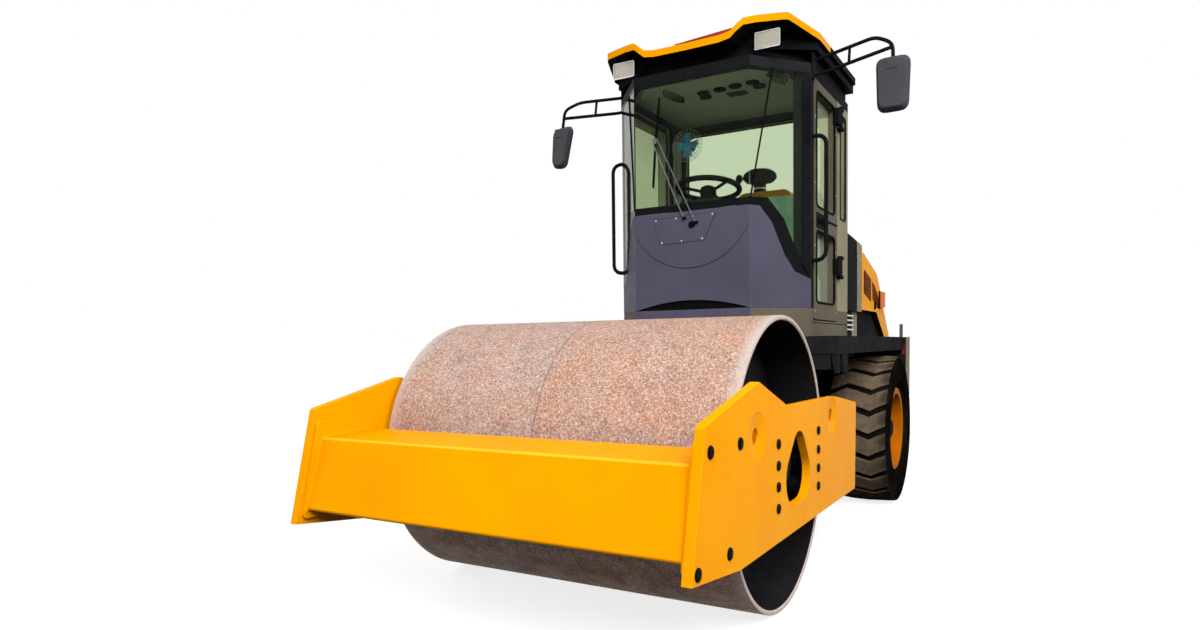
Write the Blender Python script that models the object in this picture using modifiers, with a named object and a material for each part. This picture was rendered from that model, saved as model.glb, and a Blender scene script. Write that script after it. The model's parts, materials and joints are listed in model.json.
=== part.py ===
"""Single drum roller with a cab, built as separate solids in metres, +Z up.

The drum end faces -Y and the machine's left side is +X. The origin is on the floor under the
steering pivot, which stands halfway between the drum's axis and the rear axle.
"""

from math import atan2, ceil, cos, pi, radians, sin, tan

import bmesh
import bpy
from mathutils import Matrix, Quaternion, Vector

# Clearances
SEAT = 0.0003          # between pieces that touch
RUN = 0.006            # between pieces that move past each other

# Driving dimensions
WHEELBASE = 2.62
DRUM_Y = -WHEELBASE / 2
AXLE_Y = WHEELBASE / 2
REAR_Y = 2.426         # back of the counterweight

# Drum
DRUM_RADIUS = 0.625
DRUM_HALF = 0.84
SHELL = 0.020
HEAD_X = 0.60          # outer face of the heads inside the drum
HEAD_THICK = 0.024
HEAD_BORE = 0.17
HEAD_HOLES = 6
TUBE_WALL = 0.02
DRUM_FACETS = 64
CORE_FACETS = 32       # every second corner of the shell's
DRUM_FRONT = DRUM_Y - DRUM_RADIUS

# Side plates of the front frame
PLATE_GAP = 0.027      # beside the drum's ends
PLATE = 0.035
PLATE_IN = DRUM_HALF + PLATE_GAP
PLATE_OUT = PLATE_IN + PLATE
PLATE_OUTLINE = (      # y, z, corner radius
    (DRUM_FRONT - 0.491, 0.407, 0.001), (DRUM_FRONT - 0.376, 0.879, 0.020), (DRUM_Y - 0.500, 0.994, 0.020),
    (DRUM_Y - 0.149, 0.880, 0.050), (DRUM_Y + 0.622, 0.872, 0.040), (-0.226, 0.812, 0.015),
    (-0.245, 0.350, 0.015), (DRUM_Y - 0.696, 0.355, 0.030))
EYE = ((DRUM_Y + 0.010, 0.665, 0.100), (DRUM_Y - 0.060, 0.577, 0.112), (DRUM_Y + 0.073, 0.572, 0.105))
LIFT_DISHES = ((-1.832, 0.796), (-0.744, 0.784))   # y, z
DISH_RADIUS = 0.090
DISH_DEEP = 0.008
LIFT_HOLE = 0.032

# Front beam, a folded box between the plates
BEAM = ((DRUM_FRONT - 0.355, 0.755, 0.012), (DRUM_FRONT - 0.101, 0.775, 0.012),
        (DRUM_FRONT - 0.150, 0.470, 0.012), (DRUM_FRONT - 0.450, 0.457, 0.012))
BEAM_WALL = 0.012
FLANGE = 0.014
FLANGE_OUTLINE = ((DRUM_FRONT - 0.467, 0.424, 0.02), (DRUM_FRONT - 0.377, 0.828, 0.03),
                  (DRUM_FRONT - 0.050, 0.822, 0.03), (DRUM_FRONT - 0.050, 0.424, 0.02))

# Drum mounts, a plate on rubber buffers behind each side plate
BUFFER_Y = (DRUM_Y - 0.278, DRUM_Y + 0.309)
BUFFER_TOP = 0.741
BUFFER_PITCH = 0.085
BUFFER_ROWS = 4
BUFFER_RADIUS = 0.036
MOUNT_OUT = 0.735
MOUNT_IN = 0.711
MOUNT_OUTLINE = ((-0.355, -0.225, 0.05), (-0.355, 0.175, 0.05), (-0.12, 0.30, 0.05), (0.15, 0.30, 0.05),
                 (0.385, 0.175, 0.05), (0.385, -0.225, 0.05))   # from the drum's axis
HOUSING = (HEAD_BORE - TUBE_WALL) * cos(pi / CORE_FACETS) - SEAT / 2   # clears the turning bore's flats
MOTOR = 0.088
MOTOR_OUT = 0.845

# Rear crossbeam and the joint head it carries
CROSS_Y = (DRUM_Y + DRUM_RADIUS + 0.075, -0.270)
CROSS_Z = (0.400, 0.780)
CROSS_WALL = 0.016
HEAD_Z = (0.472, 0.748)
BOSS = 0.088
PIN = 0.045
EAR_X = 0.190
EAR_Y = -0.105
EAR = 0.040
EAR_PLATE = 0.022
EYE_THICK = 0.050

# Steering cylinders
RAM_X = 0.245
RAM_Y = 0.600
RAM_Z = 0.610
RAM_BODY = 0.037
RAM_ROD = 0.019
RAM_EYE = 0.034

# Rear frame
RAIL_X = (0.345, 0.375)
RAIL_TOP = 1.0697
RAIL_OUTLINE = ((0.130, 0.430, 0.03), (0.130, 0.800, 0.05), (0.260, RAIL_TOP, 0.03),
                (2.2197, RAIL_TOP, 0.001),
                (2.2197, 0.620, 0.001), (0.860, 0.620, 0.08), (0.640, 0.430, 0.08))
ENGINE_LOW = 0.720
YOKE_PLATE = 0.036
YOKE_Z = (0.430, 0.754)
YOKE_NOSE = 0.125

# Wheels
TYRE_RADIUS = 0.518
TYRE_HALF = 0.195
LUGS = 21
LUG_DEEP = 0.022
LUG_STOPS = (0.0, 0.72, 0.755, 0.965)     # lug's ends and groove's ends, as shares of a pitch
TREAD = ((-0.185, -0.025), (-0.130, 0.000), (-0.080, 0.028), (0.0, 0.002), (0.080, -0.028), (0.130, 0.000),
         (0.185, 0.025))                  # across from the tyre's middle, and how far the lugs lead there
WHEEL_X = 0.680
BEAD = 0.262
LIP = 0.288
RIM_HALF = 0.160
HUB_IN = 0.159
WHEEL_FACETS = 32

# Platform over the rear wheels and its tail panels
PLATFORM_Z = (1.070, 1.165)
PLATFORM_X = 0.810
TAIL_Y = (AXLE_Y + TYRE_RADIUS + 0.034, AXLE_Y + TYRE_RADIUS + 0.058)
PLATFORM_Y = (-0.250, TAIL_Y[0])
SHEET = 0.010
BAY_X = 0.335
BAY_Y = (1.400, 2.500)
TAIL_Z = 0.720
TAIL_X = (0.440, 0.850)
SKIRT_X = (0.550, 0.565)
SKIRT_Y = (1.340, 2.150)
SKIRT_Z = 1.380

# Cab
CAB_CORNER = (0.610, -0.033)
CAB_FRONT = (0.357, -0.350)
CAB_REAR = 0.870
CAB_WALL = 0.045
PANEL_WALL = 0.030
GLASS = 0.006
CAB_FLOOR = PLATFORM_Z[1] + SEAT
SILL = 1.263
BELT = 1.333
CAB_TOP = 2.715
GLASS_TOP = 2.660
# x, z
PANEL_LINE = ((0.357, 1.902), (0.398, 1.898), (0.447, 1.810), (0.500, 1.629), (0.542, 1.540), (0.62, 1.497))
CRESCENT = 0.055
BULGE = (-0.005, 1.965, 0.389, 0.004)         # x, z, radius, how proud
DOOR_Y = (0.020, 0.580)
DOOR_TOP = 2.660
DOOR_THICK = 0.040
HINGE = (0.633, 0.577)
HINGE_Z = ((1.560, 1.660), (2.498, 2.598))
KNUCKLE = 0.012
LOWER_LIGHT = (0.075, 0.505, 1.370, 1.790)     # y low, y high, z low, z high
UPPER_LIGHT = (0.075, 0.505, 1.930, 2.595)
QUARTER_LIGHT = (0.655, 0.800, 1.930, 2.595)
REAR_LIGHT = (-0.470, 0.470, 1.930, 2.595)     # x low, x high, z low, z high

# Roof
ROOF_PROFILE = ((0.0, 2.834), (0.200, 2.836), (0.265, 2.847), (0.335, 2.906), (0.400, 2.913), (0.560, 2.914),
                (0.660, 2.872))                # x, top z
ROOF_THICK = 0.040
TRAY_LOW = 2.785
TRAY_PLAN = ((-0.640, 0.895), (-0.640, -0.020), (-0.330, -0.240), (0.330, -0.240), (0.640, -0.020),
             (0.640, 0.895))
LINER_PLAN = ((-0.598, 0.858), (-0.598, 0.060), (-0.330, -0.240), (0.330, -0.240), (0.598, 0.060),
              (0.598, 0.858))
CONSOLE_PLAN = ((-0.460, 0.290), (-0.460, -0.050), (-0.300, -0.235), (0.300, -0.235), (0.460, -0.050),
                (0.460, 0.290))
CONSOLE_LOW = 2.688
ROOF_PLAN = ((0.300, -0.400, 0.03), (0.560, -0.310, 0.05), (0.660, -0.030, 0.05), (0.660, 0.920, 0.06))

# Behind the cab
TANK_X = 0.610
TANK_Y = (0.886, 1.325)
TANK_TOP = 1.870
TANK_LOW = 1.350
TANK_STEP = 0.035
HOOD_LOW = PLATFORM_Z[1] + 2 * RUN
HOOD_OUTLINE = ((1.338, HOOD_LOW, 0.001), (1.338, 1.790, 0.03), (1.880, 1.660, 0.18), (2.150, 1.400, 0.20),
                (2.385, HOOD_LOW, 0.001))
HOOD_HINGE = (0, 1.344, 1.802)
HOOD_HINGE_X = (0.330, 0.370)
HOOD_WALL = 0.030
HOOD_ROUND = 0.110
VENTS = (((1.385, 1.490), (1.385, 1.655), (1.500, 1.635), (1.640, 1.450)),
         ((1.650, 1.590), (1.770, 1.565), (2.060, 1.395), (1.880, 1.400)))    # y, z of each corner
HOOD_NOTCH = ((1.30, 1.366), (1.850, 1.366), (2.170, HOOD_LOW), (2.170, 1.10), (1.30, 1.10))
WEIGHT_Y = (2.220, REAR_Y)

# Mirrors: the head's low and high z, then the lower arm, the upper arm and the brace between them
MIRRORS = {
    "left": (2.365, 2.655, ((0.612, -0.005, 2.655), (0.660, -0.005, 2.655), (1.050, -0.0485, 2.712)),
             ((0.612, 0.045, 2.752), (0.955, -0.030, 2.788), (1.048, -0.045, 2.735), (1.055, -0.060, 2.630)),
             ((0.815, -0.022, 2.678), (0.815, 0.000, 2.773))),
    "right": (2.325, 2.600, ((0.612, -0.005, 2.645), (0.660, -0.005, 2.645), (1.045, -0.0505, 2.660)),
              ((0.612, 0.045, 2.752), (0.930, -0.030, 2.752), (1.040, -0.045, 2.715), (1.050, -0.060, 2.575)),
              ((0.815, -0.022, 2.651), (0.815, -0.003, 2.752))),
}

FINISHES = {           # base colour, metallic, roughness
    "machine_yellow": ((0.80, 0.33, 0.02), 0.0, 0.35),
    "cab_grey": ((0.10, 0.09, 0.12), 0.2, 0.40),
    "black_paint": ((0.015, 0.015, 0.015), 0.0, 0.55),
    "drum_steel": ((0.42, 0.29, 0.24), 0.7, 0.60),
    "dull_steel": ((0.30, 0.30, 0.31), 0.9, 0.45),
    "rod_chrome": ((0.75, 0.75, 0.77), 1.0, 0.15),
    "tyre_rubber": ((0.05, 0.047, 0.04), 0.0, 0.90),
    "pane_glass": ((0.55, 0.68, 0.50), 0.0, 0.05),
    "trim_plastic": ((0.03, 0.03, 0.03), 0.0, 0.60),
    "seat_fabric": ((0.07, 0.08, 0.10), 0.0, 0.95),
    "lamp_plastic": ((0.75, 0.75, 0.78), 0.0, 0.20),
    "amber_plastic": ((0.90, 0.30, 0.02), 0.0, 0.25),
}

SIDES = (("left", 1), ("right", -1))


def start():
    """Empty the scene and make the collections and finishes."""
    for old in list(bpy.data.objects):
        bpy.data.objects.remove(old, do_unlink=True)
    parts = bpy.data.collections.new("single_drum_roller")
    tools = bpy.data.collections.new("cutters")
    for group in (parts, tools):
        bpy.context.scene.collection.children.link(group)
    made = {}
    for name, (colour, metallic, roughness) in FINISHES.items():
        finish = bpy.data.materials.new(name)
        finish.use_nodes = True
        shader = finish.node_tree.nodes["Principled BSDF"]
        shader.inputs["Base Color"].default_value = (*colour, 1.0)
        shader.inputs["Metallic"].default_value = metallic
        shader.inputs["Roughness"].default_value = roughness
        made[name] = finish
    return parts, tools, made


PARTS, TOOLS, FINISH = start()


def rounded(points, step=radians(24)):
    """Replace each corner of a closed outline of (a, b, radius) with an arc."""
    made = []
    count = len(points)
    for i, (a, b, radius) in enumerate(points):
        here = Vector((a, b))
        back = (Vector(points[i - 1][:2]) - here).normalized()
        ahead = (Vector(points[(i + 1) % count][:2]) - here).normalized()
        half = back.angle(ahead) / 2
        if radius < 0.002 or half > radians(88):
            made.append((a, b))
            continue
        reach = radius / tan(half)
        centre = here + (back + ahead).normalized() * radius / sin(half)
        first = here + back * reach - centre
        turn = pi - 2 * half
        if first.y * back.x - first.x * back.y < 0:
            turn = -turn
        steps = max(1, ceil(abs(turn) / step))
        for k in range(steps + 1):
            spin = Matrix.Rotation(turn * k / steps, 2)
            made.append(tuple(centre + spin @ first))
    return made


def circle(a, b, radius, steps=16):
    """Return the points of a circle."""
    return [(a + radius * cos(2 * pi * k / steps),
             b + radius * sin(2 * pi * k / steps)) for k in range(steps)]


def wrap(points):
    """Return the convex outline round some points."""
    todo = sorted(set(points))

    def chain(row):
        out = []
        for p in row:
            while len(out) > 1 and ((out[-1][0] - out[-2][0]) * (p[1] - out[-2][1])
                                    - (out[-1][1] - out[-2][1]) * (p[0] - out[-2][0])) <= 1e-9:
                out.pop()
            out.append(p)
        return out[:-1]

    return chain(todo) + chain(todo[::-1])


def inset(points, amount):
    """Move each edge of an anticlockwise outline inwards."""
    made = []
    count = len(points)
    for i in range(count):
        here = Vector(points[i])
        one = (here - Vector(points[i - 1])).normalized()
        two = (Vector(points[(i + 1) % count]) - here).normalized()
        left_one = Vector((-one.y, one.x))
        left_two = Vector((-two.y, two.x))
        middle = (left_one + left_two).normalized()
        made.append(tuple(here + middle * amount / middle.dot(left_one)))
    return made


def shrunk(points, amount):
    """Move a clockwise outline of (a, b, radius) inwards, with its corners tightened to suit."""
    sharp = inset([(a, b) for a, b, _ in points[::-1]], amount)[::-1]
    return [(a, b, max(radius - amount, 0.0)) for (a, b), (_, _, radius) in zip(sharp, points)]


def solid(name, mesh, finish, origin=None):
    """Make an object of a finished mesh, with its origin on a given point."""
    if origin is not None:
        mesh.transform(Matrix.Translation(-Vector(origin)))
    made = bpy.data.objects.new(name, mesh)
    if origin is not None:
        made.location = origin
    if finish is None:
        TOOLS.objects.link(made)
        made.hide_render = True
        made.display_type = "WIRE"
    else:
        mesh.materials.append(FINISH[finish])
        PARTS.objects.link(made)
    return made


def closed(bm, name, smooth=False):
    """Turn a bmesh into a mesh with outward normals."""
    bmesh.ops.recalc_face_normals(bm, faces=bm.faces)
    mesh = bpy.data.meshes.new(name)
    bm.to_mesh(mesh)
    bm.free()
    if smooth:
        mesh.shade_smooth()
        mesh.set_sharp_from_angle(angle=radians(35))
    return mesh


def prism(name, outline, axis, low, high, finish=None, origin=None, smooth=False):
    """Extrude a closed outline along X, Y or Z from low to high."""
    place = {"X": lambda a, b, t: (t, a, b), "Y": lambda a, b, t: (a, t, b),
             "Z": lambda a, b, t: (a, b, t)}[axis]
    bm = bmesh.new()
    base = bm.faces.new([bm.verts.new(place(a, b, low)) for a, b in outline])
    grown = bmesh.ops.extrude_face_region(bm, geom=[base])
    top = [v for v in grown["geom"] if isinstance(v, bmesh.types.BMVert)]
    shift = Vector(place(0, 0, high)) - Vector(place(0, 0, low))
    bmesh.ops.translate(bm, verts=top, vec=shift)
    return solid(name, closed(bm, name, smooth), finish, origin)


def box(name, xs, ys, zs, finish=None, origin=None):
    """Make a box between two limits on each axis."""
    outline = ((xs[0], ys[0]), (xs[1], ys[0]), (xs[1], ys[1]), (xs[0], ys[1]))
    return prism(name, outline, "Z", zs[0], zs[1], finish, origin)


def lathe(name, profile, axis, centre, steps, finish=None, origin=None):
    """Turn a closed profile of (along, radius) round an axis through a point."""
    along = {"X": Vector((1, 0, 0)), "Y": Vector((0, 1, 0)), "Z": Vector((0, 0, 1))}[axis]
    out = {"X": Vector((0, 0, 1)), "Y": Vector((0, 0, 1)), "Z": Vector((1, 0, 0))}[axis]
    middle = Vector(centre)
    bm = bmesh.new()
    verts = [bm.verts.new(middle + along * a + out * r) for a, r in profile]
    edges = [bm.edges.new((verts[i - 1], v)) for i, v in enumerate(verts)
             if profile[i - 1][1] > 1e-6 or profile[i][1] > 1e-6]
    bmesh.ops.spin(bm, geom=verts + edges, cent=middle, axis=along, dvec=(0, 0, 0), angle=2 * pi,
                   steps=steps, use_merge=True, use_duplicate=False)
    bmesh.ops.remove_doubles(bm, verts=bm.verts, dist=0.00001)
    return solid(name, closed(bm, name, True), finish, origin)


def rod(name, axis, centre, low, high, radius, finish=None, origin=None, steps=16):
    """Make a plain cylinder along an axis, between two stations from its centre."""
    profile = ((low, 0), (low, radius), (high, radius), (high, 0))
    return lathe(name, profile, axis, centre, steps, finish, origin)


def bend(points, radius, steps=3):
    """Round the corners of a route through space."""
    made = [Vector(points[0])]
    for before, here, after in zip(points, points[1:], points[2:]):
        here = Vector(here)
        back = (Vector(before) - here).normalized()
        ahead = (Vector(after) - here).normalized()
        half = back.angle(ahead) / 2
        reach = radius / tan(half)
        centre = here + (back + ahead).normalized() * radius / sin(half)
        first = here + back * reach - centre
        last = here + ahead * reach - centre
        turn = Quaternion(first.cross(last).normalized(), first.angle(last) / steps)
        for _ in range(steps + 1):
            made.append(centre + first)
            first = turn @ first
    made.append(Vector(points[-1]))
    return made


def tube(name, points, radius, finish=None, sides=2, origin=None):
    """Sweep a round bar along a route, as a mesh with capped ends."""
    line = bpy.data.curves.new(name, "CURVE")
    line.dimensions = "3D"
    line.bevel_depth = radius
    line.bevel_resolution = sides
    line.use_fill_caps = True
    spline = line.splines.new("POLY")
    spline.points.add(len(points) - 1)
    for point, where in zip(spline.points, points):
        point.co = (*where, 1.0)
    draft = bpy.data.objects.new(name + "_route", line)
    bpy.context.scene.collection.objects.link(draft)
    view = bpy.context.evaluated_depsgraph_get()
    mesh = bpy.data.meshes.new_from_object(draft.evaluated_get(view))
    bpy.data.objects.remove(draft, do_unlink=True)
    bm = bmesh.new()
    bm.from_mesh(mesh)
    bmesh.ops.remove_doubles(bm, verts=bm.verts, dist=0.00005)
    mesh.materials.clear()
    return solid(name, closed(bm, name, True), finish, origin)


def combine(target, other, operation):
    """Add an exact Boolean to a piece and put the other piece with the cutters."""
    if other.name in PARTS.objects:
        PARTS.objects.unlink(other)
        TOOLS.objects.link(other)
    other.hide_render = True
    other.display_type = "WIRE"
    step = target.modifiers.new(operation.lower(), "BOOLEAN")
    step.solver = "EXACT"
    step.operation = operation
    step.object = other
    return target


def cut(target, *others):
    """Take pieces away from a target."""
    for other in others:
        combine(target, other, "DIFFERENCE")
    return target


def fuse(target, *others):
    """Join pieces to a target as one body."""
    for other in others:
        combine(target, other, "UNION")
    return target


def span(side, low, high):
    """Return two stations on one side of the machine in rising order."""
    return (low, high) if side > 0 else (-high, -low)


def round_edges(target, width, segments=2, angle=40):
    """Bevel the sharp edges of a piece."""
    step = target.modifiers.new("round", "BEVEL")
    step.width = width
    step.segments = segments
    step.limit_method = "ANGLE"
    step.angle_limit = radians(angle)
    step.harden_normals = False
    return target


def build_drum():
    """Make the rolled shell and the two heads on their central tube."""
    centre = (0, DRUM_Y, DRUM_RADIUS)
    edge = 0.005
    inner = DRUM_RADIUS - SHELL
    shell = ((-DRUM_HALF, inner), (-DRUM_HALF, DRUM_RADIUS - edge), (-DRUM_HALF + edge, DRUM_RADIUS),
             (DRUM_HALF - edge, DRUM_RADIUS), (DRUM_HALF, DRUM_RADIUS - edge), (DRUM_HALF, inner))
    lathe("drum_shell", shell, "X", centre, DRUM_FACETS, "drum_steel", centre)
    head = inner - SEAT
    low = HEAD_BORE - TUBE_WALL
    core = ((-HEAD_X, low), (-HEAD_X, head), (HEAD_THICK - HEAD_X, head), (HEAD_THICK - HEAD_X, HEAD_BORE),
            (HEAD_X - HEAD_THICK, HEAD_BORE), (HEAD_X - HEAD_THICK, head), (HEAD_X, head), (HEAD_X, low))
    core = lathe("drum_core", core, "X", centre, CORE_FACETS, "black_paint", centre)
    for k in range(HEAD_HOLES):
        turn = 2 * pi * (k + 0.53) / HEAD_HOLES
        place = (0, DRUM_Y + 0.39 * cos(turn), DRUM_RADIUS + 0.39 * sin(turn))
        cut(core, rod("drum_head_hole_%d" % k, "X", place, -HEAD_X - 0.05, HEAD_X + 0.05, 0.10, steps=12))


def build_side_plates():
    """Make both side plates with their eyes and dished lifting holes."""
    outline = rounded(PLATE_OUTLINE)
    eye = wrap([p for a, b, r in EYE for p in circle(a, b, r, 20)])
    for word, side in SIDES:
        plate = prism("side_plate_" + word, outline, "X", *span(side, PLATE_IN, PLATE_OUT),
                      "machine_yellow")
        cut(plate, prism("eye_" + word, eye, "X", *span(side, PLATE_IN - 0.05, PLATE_OUT + 0.05)))
        for k, (y, z) in enumerate(LIFT_DISHES):
            dish = circle(y, z, DISH_RADIUS, 24)
            hole = circle(y, z, LIFT_HOLE, 12)
            cut(plate, prism("dish_%s_%d" % (word, k), dish, "X",
                             *span(side, PLATE_OUT - DISH_DEEP, PLATE_OUT + 0.05)),
                prism("lift_%s_%d" % (word, k), hole, "X", *span(side, PLATE_IN - 0.05, PLATE_OUT + 0.05)))


def build_front_beam():
    """Make the folded front beam with a flange at each end."""
    end = PLATE_IN - SEAT - FLANGE
    outline = rounded(BEAM)
    beam = prism("front_beam", outline, "X", -end - 0.004, end + 0.004, "machine_yellow")
    for word, side in SIDES:
        fuse(beam, prism("beam_flange_" + word, rounded(FLANGE_OUTLINE), "X",
                         *span(side, end, PLATE_IN - SEAT)))
    cut(beam, prism("beam_hollow", rounded(shrunk(BEAM, BEAM_WALL)), "X", -1, 1))


def build_rear_crossbeam():
    """Make the hollow rear crossbeam with the joint head and cylinder ears."""
    end = PLATE_IN - SEAT
    beam = box("rear_crossbeam", (-end, end), CROSS_Y, CROSS_Z, "machine_yellow")
    cut(beam, box("crossbeam_hollow", (-1, 1), (CROSS_Y[0] + CROSS_WALL, CROSS_Y[1] - CROSS_WALL),
                  (CROSS_Z[0] + CROSS_WALL, CROSS_Z[1] - CROSS_WALL)))
    neck = wrap([(-0.16, CROSS_Y[1] - 0.008), (0.16, CROSS_Y[1] - 0.008)] + circle(0, 0, BOSS, 32))
    fuse(beam, prism("joint_neck", neck, "Z", *HEAD_Z))
    for word, side in SIDES:
        for k, z in enumerate((RAM_Z - EYE_THICK / 2 - RUN - EAR_PLATE, RAM_Z + EYE_THICK / 2 + RUN)):
            ear = wrap(circle(side * EAR_X, EAR_Y, EAR) + circle(0, EAR_Y, 0.05, 12)
                       + [(side * 0.06, CROSS_Y[1] + 0.05), (0, CROSS_Y[1] + 0.05)])
            fuse(beam, prism("ear_%s_%d" % (word, k), ear, "Z", z, z + EAR_PLATE))
    cut(beam, rod("joint_bore", "Z", (0, 0, 0), 0.3, 0.9, PIN + 0.0008, steps=24))


def build_drum_mounts():
    """Make each mount plate with its rubber buffers, bearing housing and motor."""
    for word, side in SIDES:
        outline = rounded([(DRUM_Y + y, DRUM_RADIUS + z, r) for y, z, r in MOUNT_OUTLINE])
        plate = prism("drum_mount_" + word, outline, "X", *span(side, MOUNT_IN, MOUNT_OUT), "black_paint")
        for row, y in enumerate(BUFFER_Y):
            for k in range(BUFFER_ROWS):
                place = (0, y, BUFFER_TOP - k * BUFFER_PITCH)
                fuse(plate, rod("buffer_%s_%d_%d" % (word, row, k), "X", place,
                                *span(side, MOUNT_OUT - 0.004, PLATE_IN - SEAT), BUFFER_RADIUS, steps=8))
        centre = (0, DRUM_Y, DRUM_RADIUS)
        fuse(plate, rod("housing_" + word, "X", centre, *span(side, 0.52, MOUNT_IN + 0.004), HOUSING,
                        steps=CORE_FACETS))
        fuse(plate, rod("motor_" + word, "X", centre, *span(side, MOUNT_OUT - 0.004, MOTOR_OUT), MOTOR,
                        steps=16))


def build_rear_frame():
    """Make the two rails, the yoke plates and the cross members as one weldment."""
    frame = prism("rear_frame", rounded(RAIL_OUTLINE), "X", RAIL_X[0], RAIL_X[1], "black_paint")
    fuse(frame, prism("rail_right", rounded(RAIL_OUTLINE), "X", -RAIL_X[1], -RAIL_X[0]))
    yoke = wrap(circle(0, 0, YOKE_NOSE, 40) + [(-0.35, 0.17), (0.35, 0.17), (-0.35, 0.52), (0.35, 0.52)])
    for k, z in enumerate(YOKE_Z):
        plate = prism("yoke_plate_%d" % k, yoke, "Z", z, z + YOKE_PLATE)
        fuse(frame, plate)
    bars = (("front", (0.680, 0.720), (0.640, 1.000)),
            ("engine_front", (1.470, 1.530), (0.660, ENGINE_LOW)),
            ("engine_rear", (1.860, 1.920), (0.660, ENGINE_LOW)), ("rear", (2.150, 2.215), (0.660, 1.000)))
    for word, ys, zs in bars:
        fuse(frame, box("cross_" + word, (-0.35, 0.35), ys, zs))
    cut(frame, rod("yoke_bore", "Z", (0, 0, 0), 0.3, 0.9, PIN + SEAT, steps=24))
    pin = ((YOKE_Z[0] - 0.012, 0), (YOKE_Z[0] - 0.012, PIN + 0.020), (YOKE_Z[0] - SEAT, PIN + 0.020),
           (YOKE_Z[0] - SEAT, PIN), (YOKE_Z[1] + YOKE_PLATE + 0.010, PIN), (YOKE_Z[1] + YOKE_PLATE + 0.010,
                                                                            0))
    lathe("pivot_pin", pin, "Z", (0, 0, 0), 24, "dull_steel")


def build_rams():
    """Make the steering cylinders: a barrel on the rear frame and a rod to the front."""
    for word, side in SIDES:
        root = Vector((side * RAM_X, RAM_Y, RAM_Z))
        tip = Vector((side * EAR_X, EAR_Y, RAM_Z))
        run = tip - root
        turn = Matrix.Translation(root) @ Matrix.Rotation(atan2(run.y, run.x), 4, "Z")
        reach = run.length
        barrel = lathe("ram_barrel_" + word,
                       ((0.05, 0), (0.05, RAM_BODY), (0.375, RAM_BODY), (0.375, RAM_ROD + SEAT),
                                              (0.09, RAM_ROD + SEAT), (0.09, 0)), "X", (0, 0,
                                                                                        0), 16, "black_paint")
        fuse(barrel, rod("barrel_eye_" + word, "Z", (0, 0, 0), -EYE_THICK / 2, EYE_THICK / 2, RAM_EYE),
             box("barrel_neck_" + word, (0.0, 0.06), (-0.02, 0.02), (-0.02, 0.02)))
        cut(barrel, rod("barrel_pin_hole_" + word, "Z", (0, 0, 0), -0.1, 0.1, 0.0155))
        piston = rod("ram_rod_" + word, "X", (0, 0, 0), 0.215, reach - 0.015, RAM_ROD, "rod_chrome")
        fuse(piston, rod("rod_eye_" + word, "Z", (reach, 0, 0), -EYE_THICK / 2, EYE_THICK / 2, RAM_EYE))
        cut(piston, rod("rod_pin_hole_" + word, "Z", (reach, 0, 0), -0.1, 0.1, 0.0155))
        for piece in (barrel, piston):
            for step in piece.modifiers:
                step.object.matrix_world = turn
            piece.matrix_world = turn


def build_ram_pins():
    """Return the pins that hold the barrels between the yoke plates."""
    frame = bpy.data.objects["rear_frame"]
    for word, side in SIDES:
        place = (side * RAM_X, RAM_Y, 0)
        fuse(frame, box("ram_tab_low_" + word, (side * RAM_X - 0.045, side * RAM_X + 0.045), (0.50, 0.645),
                        (0.43, 0.466)),
             box("ram_tab_high_" + word, (side * RAM_X - 0.045, side * RAM_X + 0.045), (0.50, 0.645),
                 (0.754, 0.790)),
             rod("ram_pin_" + word, "Z", place, 0.44, 0.78, 0.0150))


def build_rear_axle():
    """Make the axle housing with its centre bulge and the pads under the rails."""
    end = WHEEL_X - HUB_IN - SEAT
    profile = ((-end, 0), (-end, 0.105), (-0.485, 0.105), (-0.475, 0.075), (-0.20, 0.085), (-0.13, 0.175),
               (0.13, 0.175), (0.20, 0.085), (0.475, 0.075), (0.485, 0.105), (end, 0.105), (end, 0))
    axle = lathe("rear_axle", profile, "X", (0, AXLE_Y, TYRE_RADIUS), 24, "black_paint")
    for word, side in SIDES:
        fuse(axle, box("axle_pad_" + word, span(side, 0.325, 0.395), (AXLE_Y - 0.09, AXLE_Y + 0.09),
                       (TYRE_RADIUS, 0.620 - SEAT)))


def press_lugs(mesh, side):
    """Turn a plain turned tyre into one with wavy lugs, by moving its rows of points."""
    lead = dict((round(a, 3), shift) for a, shift in TREAD)
    for point in mesh.vertices:
        across = round(side * point.co.x, 3)
        radius = Vector((point.co.y, point.co.z)).length
        row = round((atan2(point.co.z, point.co.y) + pi / 2) / (2 * pi) * 4 * LUGS) % (4 * LUGS)
        lug, stop = divmod(row, 4)
        turn = (lug + LUG_STOPS[stop]) * 2 * pi / LUGS - pi / 2
        if across in lead and radius > LIP + 0.06:
            turn += (lead[across] - TREAD[3][1]) / TYRE_RADIUS
            if stop > 1:
                radius -= LUG_DEEP
        point.co.y = radius * cos(turn)
        point.co.z = radius * sin(turn)


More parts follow.
